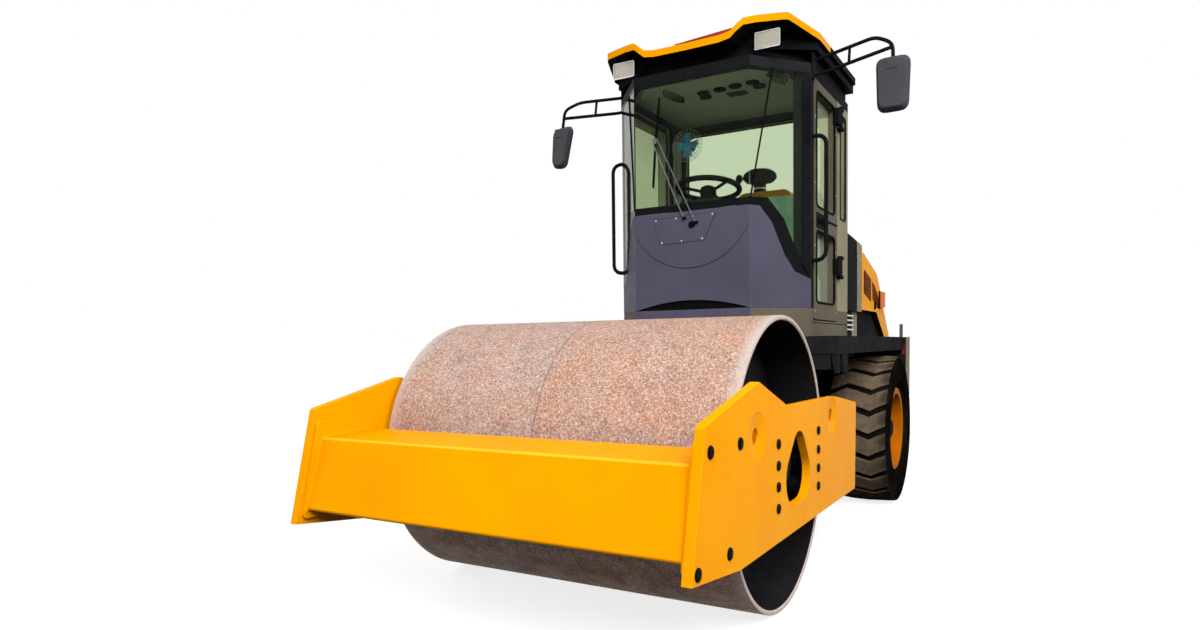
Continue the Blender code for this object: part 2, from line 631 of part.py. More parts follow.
def build_wheels():
    """Make the tyres and the dished rims with their hubs."""
    walls = [(RIM_HALF, BEAD), (RIM_HALF, LIP + 0.004), (TYRE_HALF - 0.007, LIP + 0.052),
             (TYRE_HALF, TYRE_RADIUS - 0.063)]
    crown = [(a, TYRE_RADIUS - 0.3 * a * a) for a, _ in TREAD]
    tyre = [(-a, r) for a, r in walls] + crown + walls[::-1]
    edge = RIM_HALF + SEAT
    low = BEAD * cos(pi * LUG_STOPS[1] / LUGS) - SEAT     # inside the tyre's widest facets
    rim = ((-HUB_IN, 0), (-HUB_IN, 0.115), (0.045, 0.120), (0.050, 0.205), (-edge - 0.010, 0.246),
           (-edge - 0.010, LIP), (-edge, LIP), (-edge, low), (edge, low), (edge, LIP), (edge + 0.010, LIP),
           (edge + 0.010, 0.250), (0.060, 0.236), (0.072, 0.125), (0.115, 0.100), (0.130, 0.080), (0.130,
                                                                                                   0))
    for word, side in SIDES:
        centre = (side * WHEEL_X, AXLE_Y, TYRE_RADIUS)
        ring = lathe("tyre_" + word, [(side * a, r) for a, r in tyre], "X", centre, 4 * LUGS,
                     "tyre_rubber", centre)
        press_lugs(ring.data, side)
        lathe("rim_" + word, [(side * a, r) for a, r in rim], "X", centre, WHEEL_FACETS, "machine_yellow",
              centre)


def build_platform():
    """Make the folded platform over the wheels with its tail panels."""
    platform = box("platform", (-PLATFORM_X, PLATFORM_X), PLATFORM_Y, PLATFORM_Z, "black_paint")
    inner = PLATFORM_X - SHEET
    hollow_top = PLATFORM_Z[1] - SHEET
    for word, side in SIDES:
        cut(platform, box("tray_" + word, span(side, RAIL_X[1] + 0.03, inner),
                          (PLATFORM_Y[0] + SHEET, PLATFORM_Y[1] - SHEET), (PLATFORM_Z[0] - 0.05,
                                                                           hollow_top)))
    cut(platform, box("tray_middle", (-RAIL_X[0] + 0.03, RAIL_X[0] - 0.03),
                      (PLATFORM_Y[0] + SHEET, BAY_Y[0] - SHEET),
                      (PLATFORM_Z[0] - 0.05, hollow_top)),
        box("engine_bay", (-BAY_X, BAY_X), BAY_Y, (PLATFORM_Z[0] - 0.1, PLATFORM_Z[1] + 0.1)))
    for word, side in SIDES:
        fuse(platform, box("tail_" + word, span(side, *TAIL_X), (TAIL_Y[0] - 0.004, TAIL_Y[1]),
                           (TAIL_Z, 1.168)),
             box("tail_post_" + word, span(side, 0.778, 0.800), (TAIL_Y[0] + 0.002, TAIL_Y[1] - 0.002),
                 (1.16, 1.268)))
        skirt = ((SKIRT_Y[0], 1.16), (SKIRT_Y[0], SKIRT_Z), (1.880, SKIRT_Z), (SKIRT_Y[1], 1.21),
                 (SKIRT_Y[1], 1.16))
        fuse(platform, prism("skirt_" + word, skirt, "X", *span(side, *SKIRT_X)))


def cab_plan(amount=0.0):
    """Return the cab's outline in plan, moved inwards."""
    (cx, cy), (fx, fy) = CAB_CORNER, CAB_FRONT
    outline = ((-cx, CAB_REAR), (-cx, cy), (-fx, fy), (fx, fy), (cx, cy), (cx, CAB_REAR))
    return inset(outline, amount) if amount else list(outline)


def front_strip(name, low, high, outer, inner, finish=None, back=0.0):
    """Make a sheet that follows the cab's three front facets, its ends moved back."""
    near = cab_plan(outer)[1:5]
    far = cab_plan(inner)[1:5]
    for row in (near, far):
        row[0] = (row[0][0], row[0][1] + back)
        row[3] = (row[3][0], row[3][1] + back)
    return prism(name, near + far[::-1], "Z", low, high, finish)


def below_glass(name, drop):
    """Make a block whose top follows the lower edge of the windscreen."""
    line = [(x, z - drop) for x, z in PANEL_LINE]
    outline = [(-x, z) for x, z in line[::-1]] + line + [(0.75, line[-1][1]), (0.75, 1.0), (-0.75, 1.0)]
    outline.insert(0, (-0.75, line[-1][1]))
    return prism(name, outline, "Y", -0.6, 0.02)


def build_cab():
    """Make the cab's base, front panel, frame and fixed glass."""
    base = prism("cab_base", cab_plan(), "Z", CAB_FLOOR, BELT, "cab_grey")
    cut(base, prism("base_hollow", cab_plan(CAB_WALL), "Z", CAB_FLOOR + 0.035, BELT + 0.1))
    for word, side in SIDES:
        cut(base, box("sill_cut_" + word, span(side, 0.5, 0.7), DOOR_Y, (SILL, BELT + 0.1)))

    panel = front_strip("cab_front_panel", BELT + SEAT, 1.95, 0.0, PANEL_WALL, "cab_grey")
    combine(panel, below_glass("below_panel_line", 0.0015), "INTERSECT")
    half = CAB_FRONT[0]
    drop = CRESCENT
    radius = (half * half + drop * drop) / (2 * drop)
    top = BELT + drop
    turn = [radians(a) for a in range(-90, 91, 3)]
    arc = [(radius * sin(a), top - radius + radius * cos(a)) for a in turn if abs(radius * sin(a)) < half]
    crescent = [(-half, BELT)] + arc + [(half, BELT), (half, BELT - 0.05), (-half, BELT - 0.05)]
    cut(panel, prism("crescent", crescent, "Y", -0.6, -0.2))

    x, z, radius, proud = BULGE
    level = PANEL_LINE[0][1] - 0.0015
    pressed = [(a, b) for a, b in circle(x, z, radius, 60) if b < level]
    pressed = sorted(pressed)
    edge = half - 0.006
    inside = [(a, b) for a, b in pressed if abs(a) < edge]
    bulge = [(-edge, level)] + [(-edge, inside[0][1])] + inside + [(edge, inside[-1][1]), (edge, level)]
    fuse(panel, prism("pressed_field", bulge, "Y", CAB_FRONT[1] - proud, CAB_FRONT[1] + 0.01))

    frame = prism("cab_frame", cab_plan(), "Z", BELT + SEAT, CAB_TOP, "cab_grey")
    cut(frame, prism("frame_hollow", cab_plan(CAB_WALL), "Z", 1.0, 3.0),
        box("front_opening", (-0.70, 0.70), (-0.60, -0.075), (1.0, 2.620)),
        front_strip("glass_seat", 1.0, GLASS_TOP + SEAT, -0.05, GLASS + SEAT, back=2 * SEAT))
    panel_seat = front_strip("panel_seat", 1.0, 1.95, -0.05, PANEL_WALL + SEAT, back=2 * SEAT)
    combine(panel_seat, below_glass("below_seat_line", 0.0), "INTERSECT")
    cut(frame, panel_seat)
    for word, side in SIDES:
        cut(frame, box("door_opening_" + word, span(side, 0.5, 0.7), DOOR_Y, (1.0, DOOR_TOP)))
        low, high, under, over = QUARTER_LIGHT
        cut(frame, box("quarter_opening_" + word, span(side, 0.5, 0.7), (low, high), (under, over)))
        for k, (z1, z2) in enumerate(HINGE_Z):
            for m, (a, b) in enumerate(((z1 - 0.022, z1 - SEAT), (z2 + SEAT, z2 + 0.022))):
                fuse(frame, box("frame_leaf_%s_%d_%d" % (word, k, m), span(side, 0.600, 0.640),
                                (HINGE[1] + 0.004, 0.635), (a, b)),
                     rod("frame_knuckle_%s_%d_%d" % (word, k, m), "Z", (side * HINGE[0], HINGE[1], 0), a,
                         b, KNUCKLE,
                         steps=10))
        handle = bend(((side * 0.598, -0.006, 2.310), (side * 0.690, 0.000 - 0.015, 2.310),
                       (side * 0.690, -0.015, 1.605), (side * 0.598, -0.006, 1.605)), 0.05)
        fuse(frame, tube("handle_" + word, handle, 0.0125, sides=2))
    low, high, under, over = REAR_LIGHT
    cut(frame, box("rear_opening", (low, high), (0.7, 1.0), (under, over)))

    glass = front_strip("windscreen", 1.45, GLASS_TOP, 0.0, GLASS, "pane_glass")
    cut(glass, below_glass("below_glass_line", 0.0))
    inner = CAB_WALL + SEAT
    near = cab_plan(inner)
    far = cab_plan(inner + GLASS)
    start_y = QUARTER_LIGHT[0] - 0.022
    outline = [(near[5][0], start_y), near[5], near[0], (near[0][0], start_y),
               (far[0][0], start_y), far[0], far[5], (far[5][0], start_y)]
    prism("rear_glass", outline, "Z", QUARTER_LIGHT[2] - 0.03, QUARTER_LIGHT[3] + 0.03, "pane_glass")


def build_doors():
    """Make each door as one frame with two lights, a glass sheet and hinge knuckles."""
    for word, side in SIDES:
        hinge = (side * HINGE[0], HINGE[1], 0)
        outer = CAB_CORNER[0] + 0.001
        inner = outer - DOOR_THICK
        low, high = DOOR_Y[0] + RUN, DOOR_Y[1] - RUN
        edge = ((low, SILL + RUN, 0.02), (low, DOOR_TOP - RUN, 0.02), (high, DOOR_TOP - RUN, 0.02),
                (high, SILL + RUN, 0.02))
        door = prism("door_" + word, rounded(edge), "X", *span(side, inner, outer), "cab_grey", hinge)
        for k, (y1, y2, z1, z2) in enumerate((LOWER_LIGHT, UPPER_LIGHT)):
            light = ((y1, z1, 0.03), (y1, z2, 0.03), (y2, z2, 0.03), (y2, z1, 0.03))
            cut(door, prism("light_%s_%d" % (word, k), rounded(light), "X", *span(side, 0.5, 0.7)))
        for k, (z1, z2) in enumerate(HINGE_Z):
            fuse(door, box("door_leaf_%s_%d" % (word, k), span(side, 0.600, 0.640),
                           (0.500, HINGE[1] - 0.004), (z1, z2)),
                 rod("door_knuckle_%s_%d" % (word, k), "Z", hinge, z1, z2, KNUCKLE, steps=10))
        box("door_glass_" + word, span(side, inner - SEAT - GLASS, inner - SEAT),
            (LOWER_LIGHT[0] - 0.02, LOWER_LIGHT[1] + 0.02),
            (LOWER_LIGHT[2] - 0.02, UPPER_LIGHT[3] + 0.02), "pane_glass", hinge)


def roof_line(drop):
    """Return the roof's profile in X and Z, lowered."""
    right = [(x, z - drop) for x, z in ROOF_PROFILE]
    return [(-x, z) for x, z in right[:0:-1]] + right


def build_roof():
    """Make the roof cap, the liner with the console, and the work lamps."""
    top = roof_line(0.0)
    bottom = roof_line(ROOF_THICK)
    right = list(ROOF_PLAN)
    plan = rounded([(-x, y, r) for x, y, r in right[::-1]] + right)
    roof = prism("roof", bottom + top[::-1], "Y", -0.6, 1.1, "machine_yellow")
    combine(roof, prism("roof_plan", plan, "Z", 2.6, 3.1), "INTERSECT")

    under = roof_line(ROOF_THICK + SEAT)
    tray = prism("roof_liner", [(-0.66, TRAY_LOW), (0.66, TRAY_LOW)] + under[::-1], "Y", -0.6, 1.1,
                 "black_paint")
    liner = combine(tray, prism("tray_plan", TRAY_PLAN, "Z", 2.5, 3.1), "INTERSECT")
    fuse(liner, prism("liner_plan", LINER_PLAN, "Z", CAB_TOP + SEAT, TRAY_LOW + 0.005))
    fuse(liner, prism("overhead_console", CONSOLE_PLAN, "Z", CONSOLE_LOW, TRAY_LOW + 0.005))
    for word, side in SIDES:
        lamp = box("work_lamp_" + word, span(side, 0.372, 0.517), (-0.310, -0.255), (2.745, 2.842),
                   "lamp_plastic")
        fuse(lamp, box("lamp_stalk_" + word, span(side, 0.425, 0.460), (-0.295, -0.270), (2.836, 2.8725)))


def build_interior():
    """Make the seat and the steering console with its wheel."""
    x = 0.27
    back = ((0.300, 1.560, 0.03), (0.300, 1.690, 0.05), (0.560, 1.660, 0.02), (0.640, 2.130, 0.04),
            (0.745, 2.130, 0.04),
            (0.660, 1.560, 0.06))
    seat = prism("seat", rounded(back), "X", x - 0.22, x + 0.22, "seat_fabric")
    fuse(seat, box("seat_base", (x - 0.16, x + 0.16), (0.36, 0.62), (CAB_FLOOR + 0.035 + SEAT, 1.58)))
    floor = CAB_FLOOR + 0.035 + SEAT
    column = ((-0.240, floor, 0.01), (-0.270, 1.62, 0.05), (-0.150, 1.98, 0.04), (-0.060, 1.95, 0.03),
              (-0.120, 1.60, 0.05),
              (-0.100, floor, 0.01))
    console = prism("steering_console", rounded(column), "X", -0.085, 0.085, "trim_plastic")
    lean = radians(24)
    hub = Vector((0, -0.070, 2.070))
    ring = 0.185
    up = Vector((0, -sin(lean), cos(lean)))
    across = Vector((0, cos(lean), sin(lean)))
    turns = [2 * pi * k / 28 for k in range(28)]
    loop = [hub + (Vector((1, 0, 0)) * cos(a) + across * sin(a)) * ring for a in turns]
    wheel = ring_tube("steering_ring", loop, up, 0.013)
    spokes = [tube("spoke_%d" % k, [hub - up * 0.015,
                                    hub + (Vector((cos(a), 0, 0)) + across * sin(a)) * ring], 0.010)
              for k, a in enumerate((radians(90), radians(210), radians(330)))]
    stem = tube("steering_stem", [Vector((0, -0.115, 1.93)) + up * -0.04, hub], 0.024, sides=3)
    fuse(console, stem, wheel, *spokes)


def ring_tube(name, loop, up, radius):
    """Sweep a round bar along a closed loop."""
    bm = bmesh.new()
    count = len(loop)
    rows = []
    centre = sum(loop, Vector()) / count
    for point in loop:
        out = (point - centre).normalized()
        rows.append([bm.verts.new(point + (out * cos(a) + up * sin(a)) * radius)
                     for a in [2 * pi * k / 6 for k in range(6)]])
    for i in range(count):
        for k in range(6):
            bm.faces.new((rows[i - 1][k - 1], rows[i - 1][k], rows[i][k], rows[i][k - 1]))
    return solid(name, closed(bm, name, True), None)


def build_engine_bay():
    """Make the tank housing, engine, exhaust, hood with vents, and counterweight."""
    right = ((TANK_X - TANK_STEP, CAB_FLOOR, 0.001), (TANK_X - TANK_STEP, TANK_LOW, 0.001),
             (TANK_X, TANK_LOW, 0.001),
             (TANK_X, TANK_TOP - 0.10, 0.03), (TANK_X - 0.11, TANK_TOP, 0.03))
    tank = rounded(list(right) + [(-x, z, r) for x, z, r in right[::-1]])
    tank = prism("tank_housing", tank, "Y", *TANK_Y, "cab_grey")

    hump = ((-0.200, TANK_TOP + SEAT, 0.001), (0.200, TANK_TOP + SEAT, 0.001), (0.200, 2.225, 0.06),
            (-0.200, 2.225, 0.06))
    cleaner = prism("air_cleaner", rounded(hump), "Y", 0.960, 1.290, "machine_yellow")
    cap = ((2.20, 0), (2.20, 0.045), (2.315, 0.045), (2.325, 0.100), (2.350, 0.125), (2.385, 0.118),
           (2.410, 0.080),
           (2.418, 0))
    fuse(cleaner, lathe("precleaner", cap, "Z", (-0.080, 1.120, 0), 20))

    box("engine_block", (-0.29, 0.29), (1.430, 1.960), (ENGINE_LOW + SEAT, 1.420), "black_paint")
    pipe = bend(((-0.20, 1.75, ENGINE_LOW), (-0.20, 1.75, 0.470), (-0.20, 2.36, 0.470)), 0.09)
    tube("exhaust_pipe", pipe, 0.034, "dull_steel", sides=3)

    outline = rounded(HOOD_OUTLINE)
    hood = prism("hood", outline, "X", -TANK_X, TANK_X, "machine_yellow", HOOD_HINGE)
    ease = hood.modifiers.new("round", "BEVEL")
    ease.width = HOOD_ROUND
    ease.segments = 4
    ease.limit_method = "WEIGHT"
    mark_top_edges(hood, HOOD_OUTLINE[0][1] + 0.05)
    inner = rounded(shrunk(HOOD_OUTLINE, HOOD_WALL))
    low = HOOD_OUTLINE[0][1]
    inner = [(y if y > HOOD_OUTLINE[0][0] + HOOD_WALL + 0.002 else y - 0.1,
              z if z > low + HOOD_WALL + 0.002 else low - 0.1)
             for y, z in inner]
    hollow = prism("hood_hollow", inner, "X", -TANK_X + HOOD_WALL, TANK_X - HOOD_WALL)
    cut(hood, hollow)
    for word, side in SIDES:
        for k, corners in enumerate(VENTS):
            vent = rounded([(a, b, 0.02) for a, b in corners])
            cut(hood, prism("vent_%s_%d" % (word, k), vent, "X", *span(side, 0.5, 0.7)))
        cut(hood, prism("notch_" + word, HOOD_NOTCH, "X", *span(side, 0.5, 0.7)))
        inside = TANK_X - HOOD_WALL - SEAT
        mesh_outline = ((1.372, 1.43), (1.372, 1.69), (1.60, 1.645), (1.88, 1.56), (2.09, 1.395),
                        (1.98, 1.375), (1.60, 1.40))
        prism("hood_mesh_" + word, mesh_outline, "X", *span(side, inside - 0.008, inside), "trim_plastic",
              HOOD_HINGE)
        lamp = box("turn_lamp_" + word, span(side, TANK_X + SEAT, TANK_X + 0.045), (1.935, 1.995),
                   (1.395, 1.535),
                   "amber_plastic", HOOD_HINGE)
        round_edges(lamp, 0.012)

    low, high = HOOD_HINGE_X
    y, z = HOOD_HINGE[1:]
    for word, side in SIDES:
        fuse(hood, box("hood_leaf_" + word, span(side, low, high), (y, 1.385), (1.765, z + 0.006)),
             rod("hood_knuckle_" + word, "X", HOOD_HINGE, *span(side, low, high), KNUCKLE, steps=8))
        for k, (a, b) in enumerate(((low - 0.022, low - SEAT), (high + SEAT, high + 0.022))):
            fuse(tank, box("tank_leaf_%s_%d" % (word, k), span(side, a, b), (TANK_Y[1] - 0.01, y - 0.001),
                           (z - 0.010, z + 0.010)),
                 rod("tank_knuckle_%s_%d" % (word, k), "X", HOOD_HINGE, *span(side, a, b), KNUCKLE,
                     steps=8))

    weight = ((WEIGHT_Y[0], 0.520, 0.001), (WEIGHT_Y[0], 1.1697, 0.001), (WEIGHT_Y[1], 1.1697, 0.03),
              (WEIGHT_Y[1], 0.640, 0.03),
              (WEIGHT_Y[1] - 0.08, 0.520, 0.02))
    prism("counterweight", rounded(weight), "X", -0.60, 0.60, "machine_yellow")


def mark_top_edges(target, above):
    """Weigh the long side edges that a bevel rounds."""
    mesh = target.data
    weight = mesh.attributes.new("bevel_weight_edge", "FLOAT", "EDGE")
    lift = target.location.z
    for edge in mesh.edges:
        a, b = (mesh.vertices[i].co for i in edge.vertices)
        flat = abs(a.x - b.x) < 1e-5
        front = abs(a.y - b.y) < 1e-5 and abs(a.y + target.location.y - HOOD_OUTLINE[0][0]) < 0.01
        if flat and not front and min(a.z, b.z) + lift > above - 0.02 and max(a.z, b.z) + lift > above:
            weight.data[edge.index].value = 1.0


def build_mirrors():
    """Make each mirror head on its two bent arms with their brace, and their foot on the cab."""
    foot = (CAB_CORNER[0] + SEAT, CAB_CORNER[0] + 0.009)
    for word, side in SIDES:
        low, high, lower, upper, brace = MIRRORS[word]
        lower = bend([(side * x, y, z) for x, y, z in lower], 0.03)
        upper = bend([(side * x, y, z) for x, y, z in upper], 0.04)
        brace = [(side * x, y, z) for x, y, z in brace]
        head = rounded(((0.965, -0.100, 0.018), (1.145, -0.080, 0.018), (1.145, -0.035, 0.012),
                        (0.965, -0.045, 0.012)))
        mirror = prism("mirror_" + word, [(side * a, b) for a, b in head], "Z", low, high, "trim_plastic")
        fuse(mirror, tube("mirror_lower_" + word, lower, 0.010), tube("mirror_upper_" + word, upper, 0.010),
             tube("mirror_brace_" + word, brace, 0.008),
             box("mirror_foot_low_" + word, span(side, *foot), (-0.028, DOOR_Y[0] - 0.008), (2.632, 2.700)),
             box("mirror_foot_high_" + word, span(side, *foot), (-0.028, 0.070), (2.668, TRAY_LOW - RUN)))


build_drum()
build_side_plates()
build_front_beam()
build_rear_crossbeam()
build_drum_mounts()
build_rear_frame()
build_rams()
build_ram_pins()
build_rear_axle()
build_wheels()
build_platform()
build_cab()
build_doors()
build_roof()
build_interior()
build_engine_bay()
build_mirrors()
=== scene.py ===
"""The looks of a single drum roller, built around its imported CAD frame.

Lengths are in metres and places are in the part's own frame: the drum's end looks along -Y, the
machine's left is +X, and the ground is z = 0. Each sub-assembly is a class. Its fields are the
sizes of that sub-assembly, and its methods model the pieces and put them on their bodies.
"""
import json
import logging
from collections.abc import Callable, Iterator, Sequence
from contextlib import contextmanager
from dataclasses import dataclass
from enum import Enum, IntEnum
from math import cos, hypot, pi, radians, sin

import bmesh
import bpy
from mathutils import Matrix, Vector

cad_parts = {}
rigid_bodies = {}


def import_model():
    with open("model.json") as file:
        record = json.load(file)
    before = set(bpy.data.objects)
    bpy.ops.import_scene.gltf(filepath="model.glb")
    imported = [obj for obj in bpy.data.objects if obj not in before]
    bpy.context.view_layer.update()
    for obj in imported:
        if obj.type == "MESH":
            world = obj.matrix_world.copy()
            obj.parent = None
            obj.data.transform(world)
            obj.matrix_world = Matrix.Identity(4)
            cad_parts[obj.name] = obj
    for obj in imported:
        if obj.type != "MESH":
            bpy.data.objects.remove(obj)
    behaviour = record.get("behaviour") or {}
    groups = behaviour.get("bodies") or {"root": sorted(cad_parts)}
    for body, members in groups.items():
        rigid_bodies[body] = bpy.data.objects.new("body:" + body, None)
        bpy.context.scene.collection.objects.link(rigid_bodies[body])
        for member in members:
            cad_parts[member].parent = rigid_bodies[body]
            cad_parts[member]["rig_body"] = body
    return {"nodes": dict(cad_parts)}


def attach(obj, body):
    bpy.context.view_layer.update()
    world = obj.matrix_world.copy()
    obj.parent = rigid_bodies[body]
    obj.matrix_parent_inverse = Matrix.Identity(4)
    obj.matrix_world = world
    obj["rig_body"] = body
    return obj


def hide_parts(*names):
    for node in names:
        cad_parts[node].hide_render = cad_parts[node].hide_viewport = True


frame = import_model()

LOG = logging.getLogger("roller")
Triple = tuple[float, float, float]
Pair = tuple[float, float]
Rule = Callable[[Vector, Vector], bool]
DRUM_AXLE: Triple = (0, -1.31, 0.625)
REAR_AXLE: Pair = (1.31, 0.518)             # y, z
CAB_FRONT = -0.35                           # y of the cab's flat front
CAB_CORNER = 0.357                          # x where the flat front ends


class Way(Enum):
    """A way that a face can look."""
    LEFT = (1, 0, 0)
    RIGHT = (-1, 0, 0)
    BACK = (0, 1, 0)
    FRONT = (0, -1, 0)
    UP = (0, 0, 1)
    DOWN = (0, 0, -1)


class Side(IntEnum):
    """A side of the machine. Its number turns a distance outwards into x."""
    LEFT = 1
    RIGHT = -1

    @property
    def word(self) -> str:
        """Gives the side's word in names."""
        return self.name.lower()


class Part(Enum):
    """What edit mode picks, and what a mesh calls it."""
    VERT = "verts"
    EDGE = "edges"
    FACE = "faces"


class Sided:
    """A sub-assembly with pieces on both sides, which builds one side at a time."""
    side: Side

    @property
    def out(self) -> Way:
        """Gives the way outwards on the side being built."""
        return Way[self.side.name]

    def named(self, name: str, *more: object) -> str:
        """Adds the side's word, and what comes after it, to a name."""
        return "_".join(map(str, (name, self.side.word, *more)))


def facing(way: Way, least: float = 0.9) -> Rule:
    """Accepts the faces whose normal points a way by at least this much."""
    return lambda middle, normal: normal.dot(way.value) > least


def circle(count: int) -> list[Pair]:
    """Gives points evenly round a circle of radius 1."""
    return [(cos(2 * pi * k / count), sin(2 * pi * k / count)) for k in range(count)]


# Modelling

def deselect() -> None:
    """Leaves edit mode and deselects every object."""
    if bpy.context.object and bpy.context.object.mode != "OBJECT":
        bpy.ops.object.mode_set(mode="OBJECT")
    bpy.ops.object.select_all(action="DESELECT")


def mirrored(corners: Sequence[Triple], side: Side) -> list[Triple]:
    """Puts corners given for the machine's left onto the side asked for.

    Args:
        corners: places with x outwards.
        side: the side.

    Returns:
        The places on that side.
    """
    return [(side * x, y, z) for x, y, z in corners]


class Form:
    """One mesh on its way to being a finished piece, worked with Blender's own tools."""

    def __init__(self, obj: bpy.types.Object) -> None:
        """Takes over an object."""
        self.obj = obj

    @classmethod
    def taken(cls, name: str) -> "Form":
        """Takes over the primitive that was just added and puts its place into its mesh."""
        obj = bpy.context.object
        obj.name = obj.data.name = name
        bpy.ops.object.transform_apply(location=True, rotation=True, scale=True)
        return cls(obj)

    @classmethod
    def box(cls, name: str, low: Triple, high: Triple) -> "Form":
        """Starts from a block between two corners.

        Args:
            name: the piece's name.
            low: one corner.
            high: the opposite corner.

        Returns:
            The block.
        """
        deselect()
        low, high = Vector(low), Vector(high)
        bpy.ops.mesh.primitive_cube_add(size=1, location=(low + high) / 2)
        bpy.context.object.scale = [abs(c) for c in high - low]
        return cls.taken(name)

    @classmethod
    def rod(cls, name: str, start: Triple, end: Triple, radius: float, sides: int = 24,
            tip: float | None = None) -> "Form":
        """Starts from a round bar or a taper between two points.

        Args:
            name: the piece's name.
            start: the middle of one end.
            end: the middle of the other end.
            radius: the radius at the start.
            sides: how many sides it has.
            tip: the radius at the end, where it differs.

        Returns:
            The bar.
        """
        deselect()
        start, end = Vector(start), Vector(end)
        along = end - start
        bpy.ops.mesh.primitive_cone_add(
            vertices=sides, radius1=radius, radius2=radius if tip is None else tip,
            depth=along.length, location=(start + end) / 2,
            rotation=along.to_track_quat("Z", "Y").to_euler())
        return cls.taken(name)

    @classmethod
    def ball(cls, name: str, centre: Triple, radius: float, scale: Triple = (1, 1, 1)) -> "Form":
        """Starts from a round knob, drawn out along the axes by scale."""
        deselect()
        bpy.ops.mesh.primitive_uv_sphere_add(segments=20, ring_count=12, radius=radius,
                                             location=centre, scale=scale)
        return cls.taken(name)

    @classmethod
    def plate(cls, name: str, corners: Sequence[Triple], depth: Triple) -> "Form":
        """Starts from a flat outline and gives it a thickness.

        Args:
            name: the piece's name.
            corners: the outline, in order round it.
            depth: the way and the distance that the outline is drawn out.

        Returns:
            The plate.
        """
        deselect()
        bpy.ops.mesh.primitive_circle_add(vertices=len(corners), radius=1, fill_type="NGON")
        form = cls.taken(name)
        for vertex, corner in zip(form.obj.data.vertices, corners):
            vertex.co = corner
        with form.editing(everything=True):
            bpy.ops.mesh.extrude_region_move(TRANSFORM_OT_translate={"value": Vector(depth)})
            form.face_out()
        return form

    @classmethod
    def lathe(cls, name: str, profile: Sequence[Pair], centre: Triple, axis: Triple,
              steps: int = 48, closed: bool = True) -> "Form":
        """Turns a profile about an axis.

        Args:
            name: the piece's name.
            profile: (along the axis, radius) of each corner.
            centre: a point on the axis, where "along" is nought.
            axis: the way that the axis points.
            steps: how many steps a full turn has.
            closed: whether the profile's last corner joins its first.

        Returns:
            The turned form.
        """
        deselect()
        along = Vector(axis).normalized()
        out = along.orthogonal().normalized()
        bpy.ops.mesh.primitive_circle_add(vertices=len(profile), radius=1)
        form = cls.taken(name)
        for vertex, (reach, radius) in zip(form.obj.data.vertices, profile):
            vertex.co = Vector(centre) + along * reach + out * radius
        with form.editing():
            if not closed:
                last = {0, len(profile) - 1}
                form.pick(Part.EDGE, lambda edge: {v.index for v in edge.verts} == last)
                bpy.ops.mesh.delete(type="EDGE")
            bpy.ops.mesh.select_all(action="SELECT")
            bpy.ops.mesh.spin(steps=steps, angle=2 * pi, center=centre, axis=along)
            form.merge()
            form.face_out()
        return form

    @classmethod
    def tube(cls, name: str, points: Sequence[Triple], radius: float, sides: int = 12,
             bend: float = 0.0, closed: bool = False) -> "Form":
        """Draws a round bar along a line of points.

        Args:
            name: the piece's name.
            points: the corners of the line.
            radius: the bar's radius.
            sides: how many sides it has.
            bend: how far before each corner the bar starts to turn.
            closed: whether it runs back to its first point.

        Returns:
            The bar.
        """
        deselect()
        line = bpy.data.curves.new(name, "CURVE")
        line.dimensions = "3D"
        line.bevel_depth = radius
        line.bevel_resolution = max(sides // 2 - 2, 1)
        line.use_fill_caps = not closed
        spline = line.splines.new("POLY")
        path = eased(points, bend, closed)
        spline.points.add(len(path) - 1)
        spline.use_cyclic_u = closed
        for point, place in zip(spline.points, path):
            point.co = (*place, 1)
        obj = bpy.data.objects.new(name, line)
        bpy.context.scene.collection.objects.link(obj)
        obj.select_set(True)
        bpy.context.view_layer.objects.active = obj
        bpy.ops.object.convert(target="MESH")
        form = cls(bpy.context.object)
        with form.editing(everything=True):
            form.merge()
            form.face_out()
        return form

    @classmethod
    def copy_of(cls, node: str) -> "Form":
        """Starts from a copy of a CAD node, merged and with its flat faces made whole."""
        deselect()
        obj = frame["nodes"][node].copy()
        obj.data = obj.data.copy()
        obj.data.materials.clear()
        obj.parent = None
        for key in list(obj.keys()):
            del obj[key]
        obj.name = obj.data.name = node + "_dressed"
        bpy.context.scene.collection.objects.link(obj)
        form = cls(obj)
        with form.editing():
            bpy.ops.mesh.customdata_custom_splitnormals_clear()
            bpy.ops.mesh.select_all(action="SELECT")
            form.merge()
            bpy.ops.mesh.dissolve_limited(angle_limit=radians(0.6))
        return form

    def alone(self) -> None:
        """Makes the form the active object and the only one selected."""
        deselect()
        bpy.context.view_layer.objects.active = self.obj
        self.obj.select_set(True)

    @contextmanager
    def editing(self, everything: bool = False) -> Iterator[None]:
        """Keeps the form in edit mode, with nothing or everything selected at the start."""
        self.alone()
        bpy.ops.object.mode_set(mode="EDIT")
        bpy.ops.mesh.select_mode(type="FACE")
        bpy.ops.mesh.select_all(action="SELECT" if everything else "DESELECT")
        try:
            yield
        finally:
            bpy.ops.object.mode_set(mode="OBJECT")

    def merge(self) -> None:
        """Merges doubled corners of what is selected."""
        bpy.ops.mesh.remove_doubles(threshold=0.00002)

    def face_out(self) -> None:
        """Turns the selected faces outwards."""
        bpy.ops.mesh.normals_make_consistent(inside=False)

    def pick(self, part: Part, rule: Callable[[object], bool]) -> None:
        """Selects the corners, edges or faces that the rule accepts, in edit mode.

        Args:
            part: which of them.
            rule: what it accepts.
        """
        bpy.ops.mesh.select_mode(type=part.name)
        bpy.ops.mesh.select_all(action="DESELECT")
        shape = bmesh.from_edit_mesh(self.obj.data)
        for item in getattr(shape, part.value):
            item.select_set(rule(item))
        bmesh.update_edit_mesh(self.obj.data)

    def pick_faces(self, rule: Rule) -> None:
        """Selects the faces whose middle and normal the rule accepts, in edit mode."""
        self.pick(Part.FACE, lambda face: rule(face.calc_center_median(), face.normal))

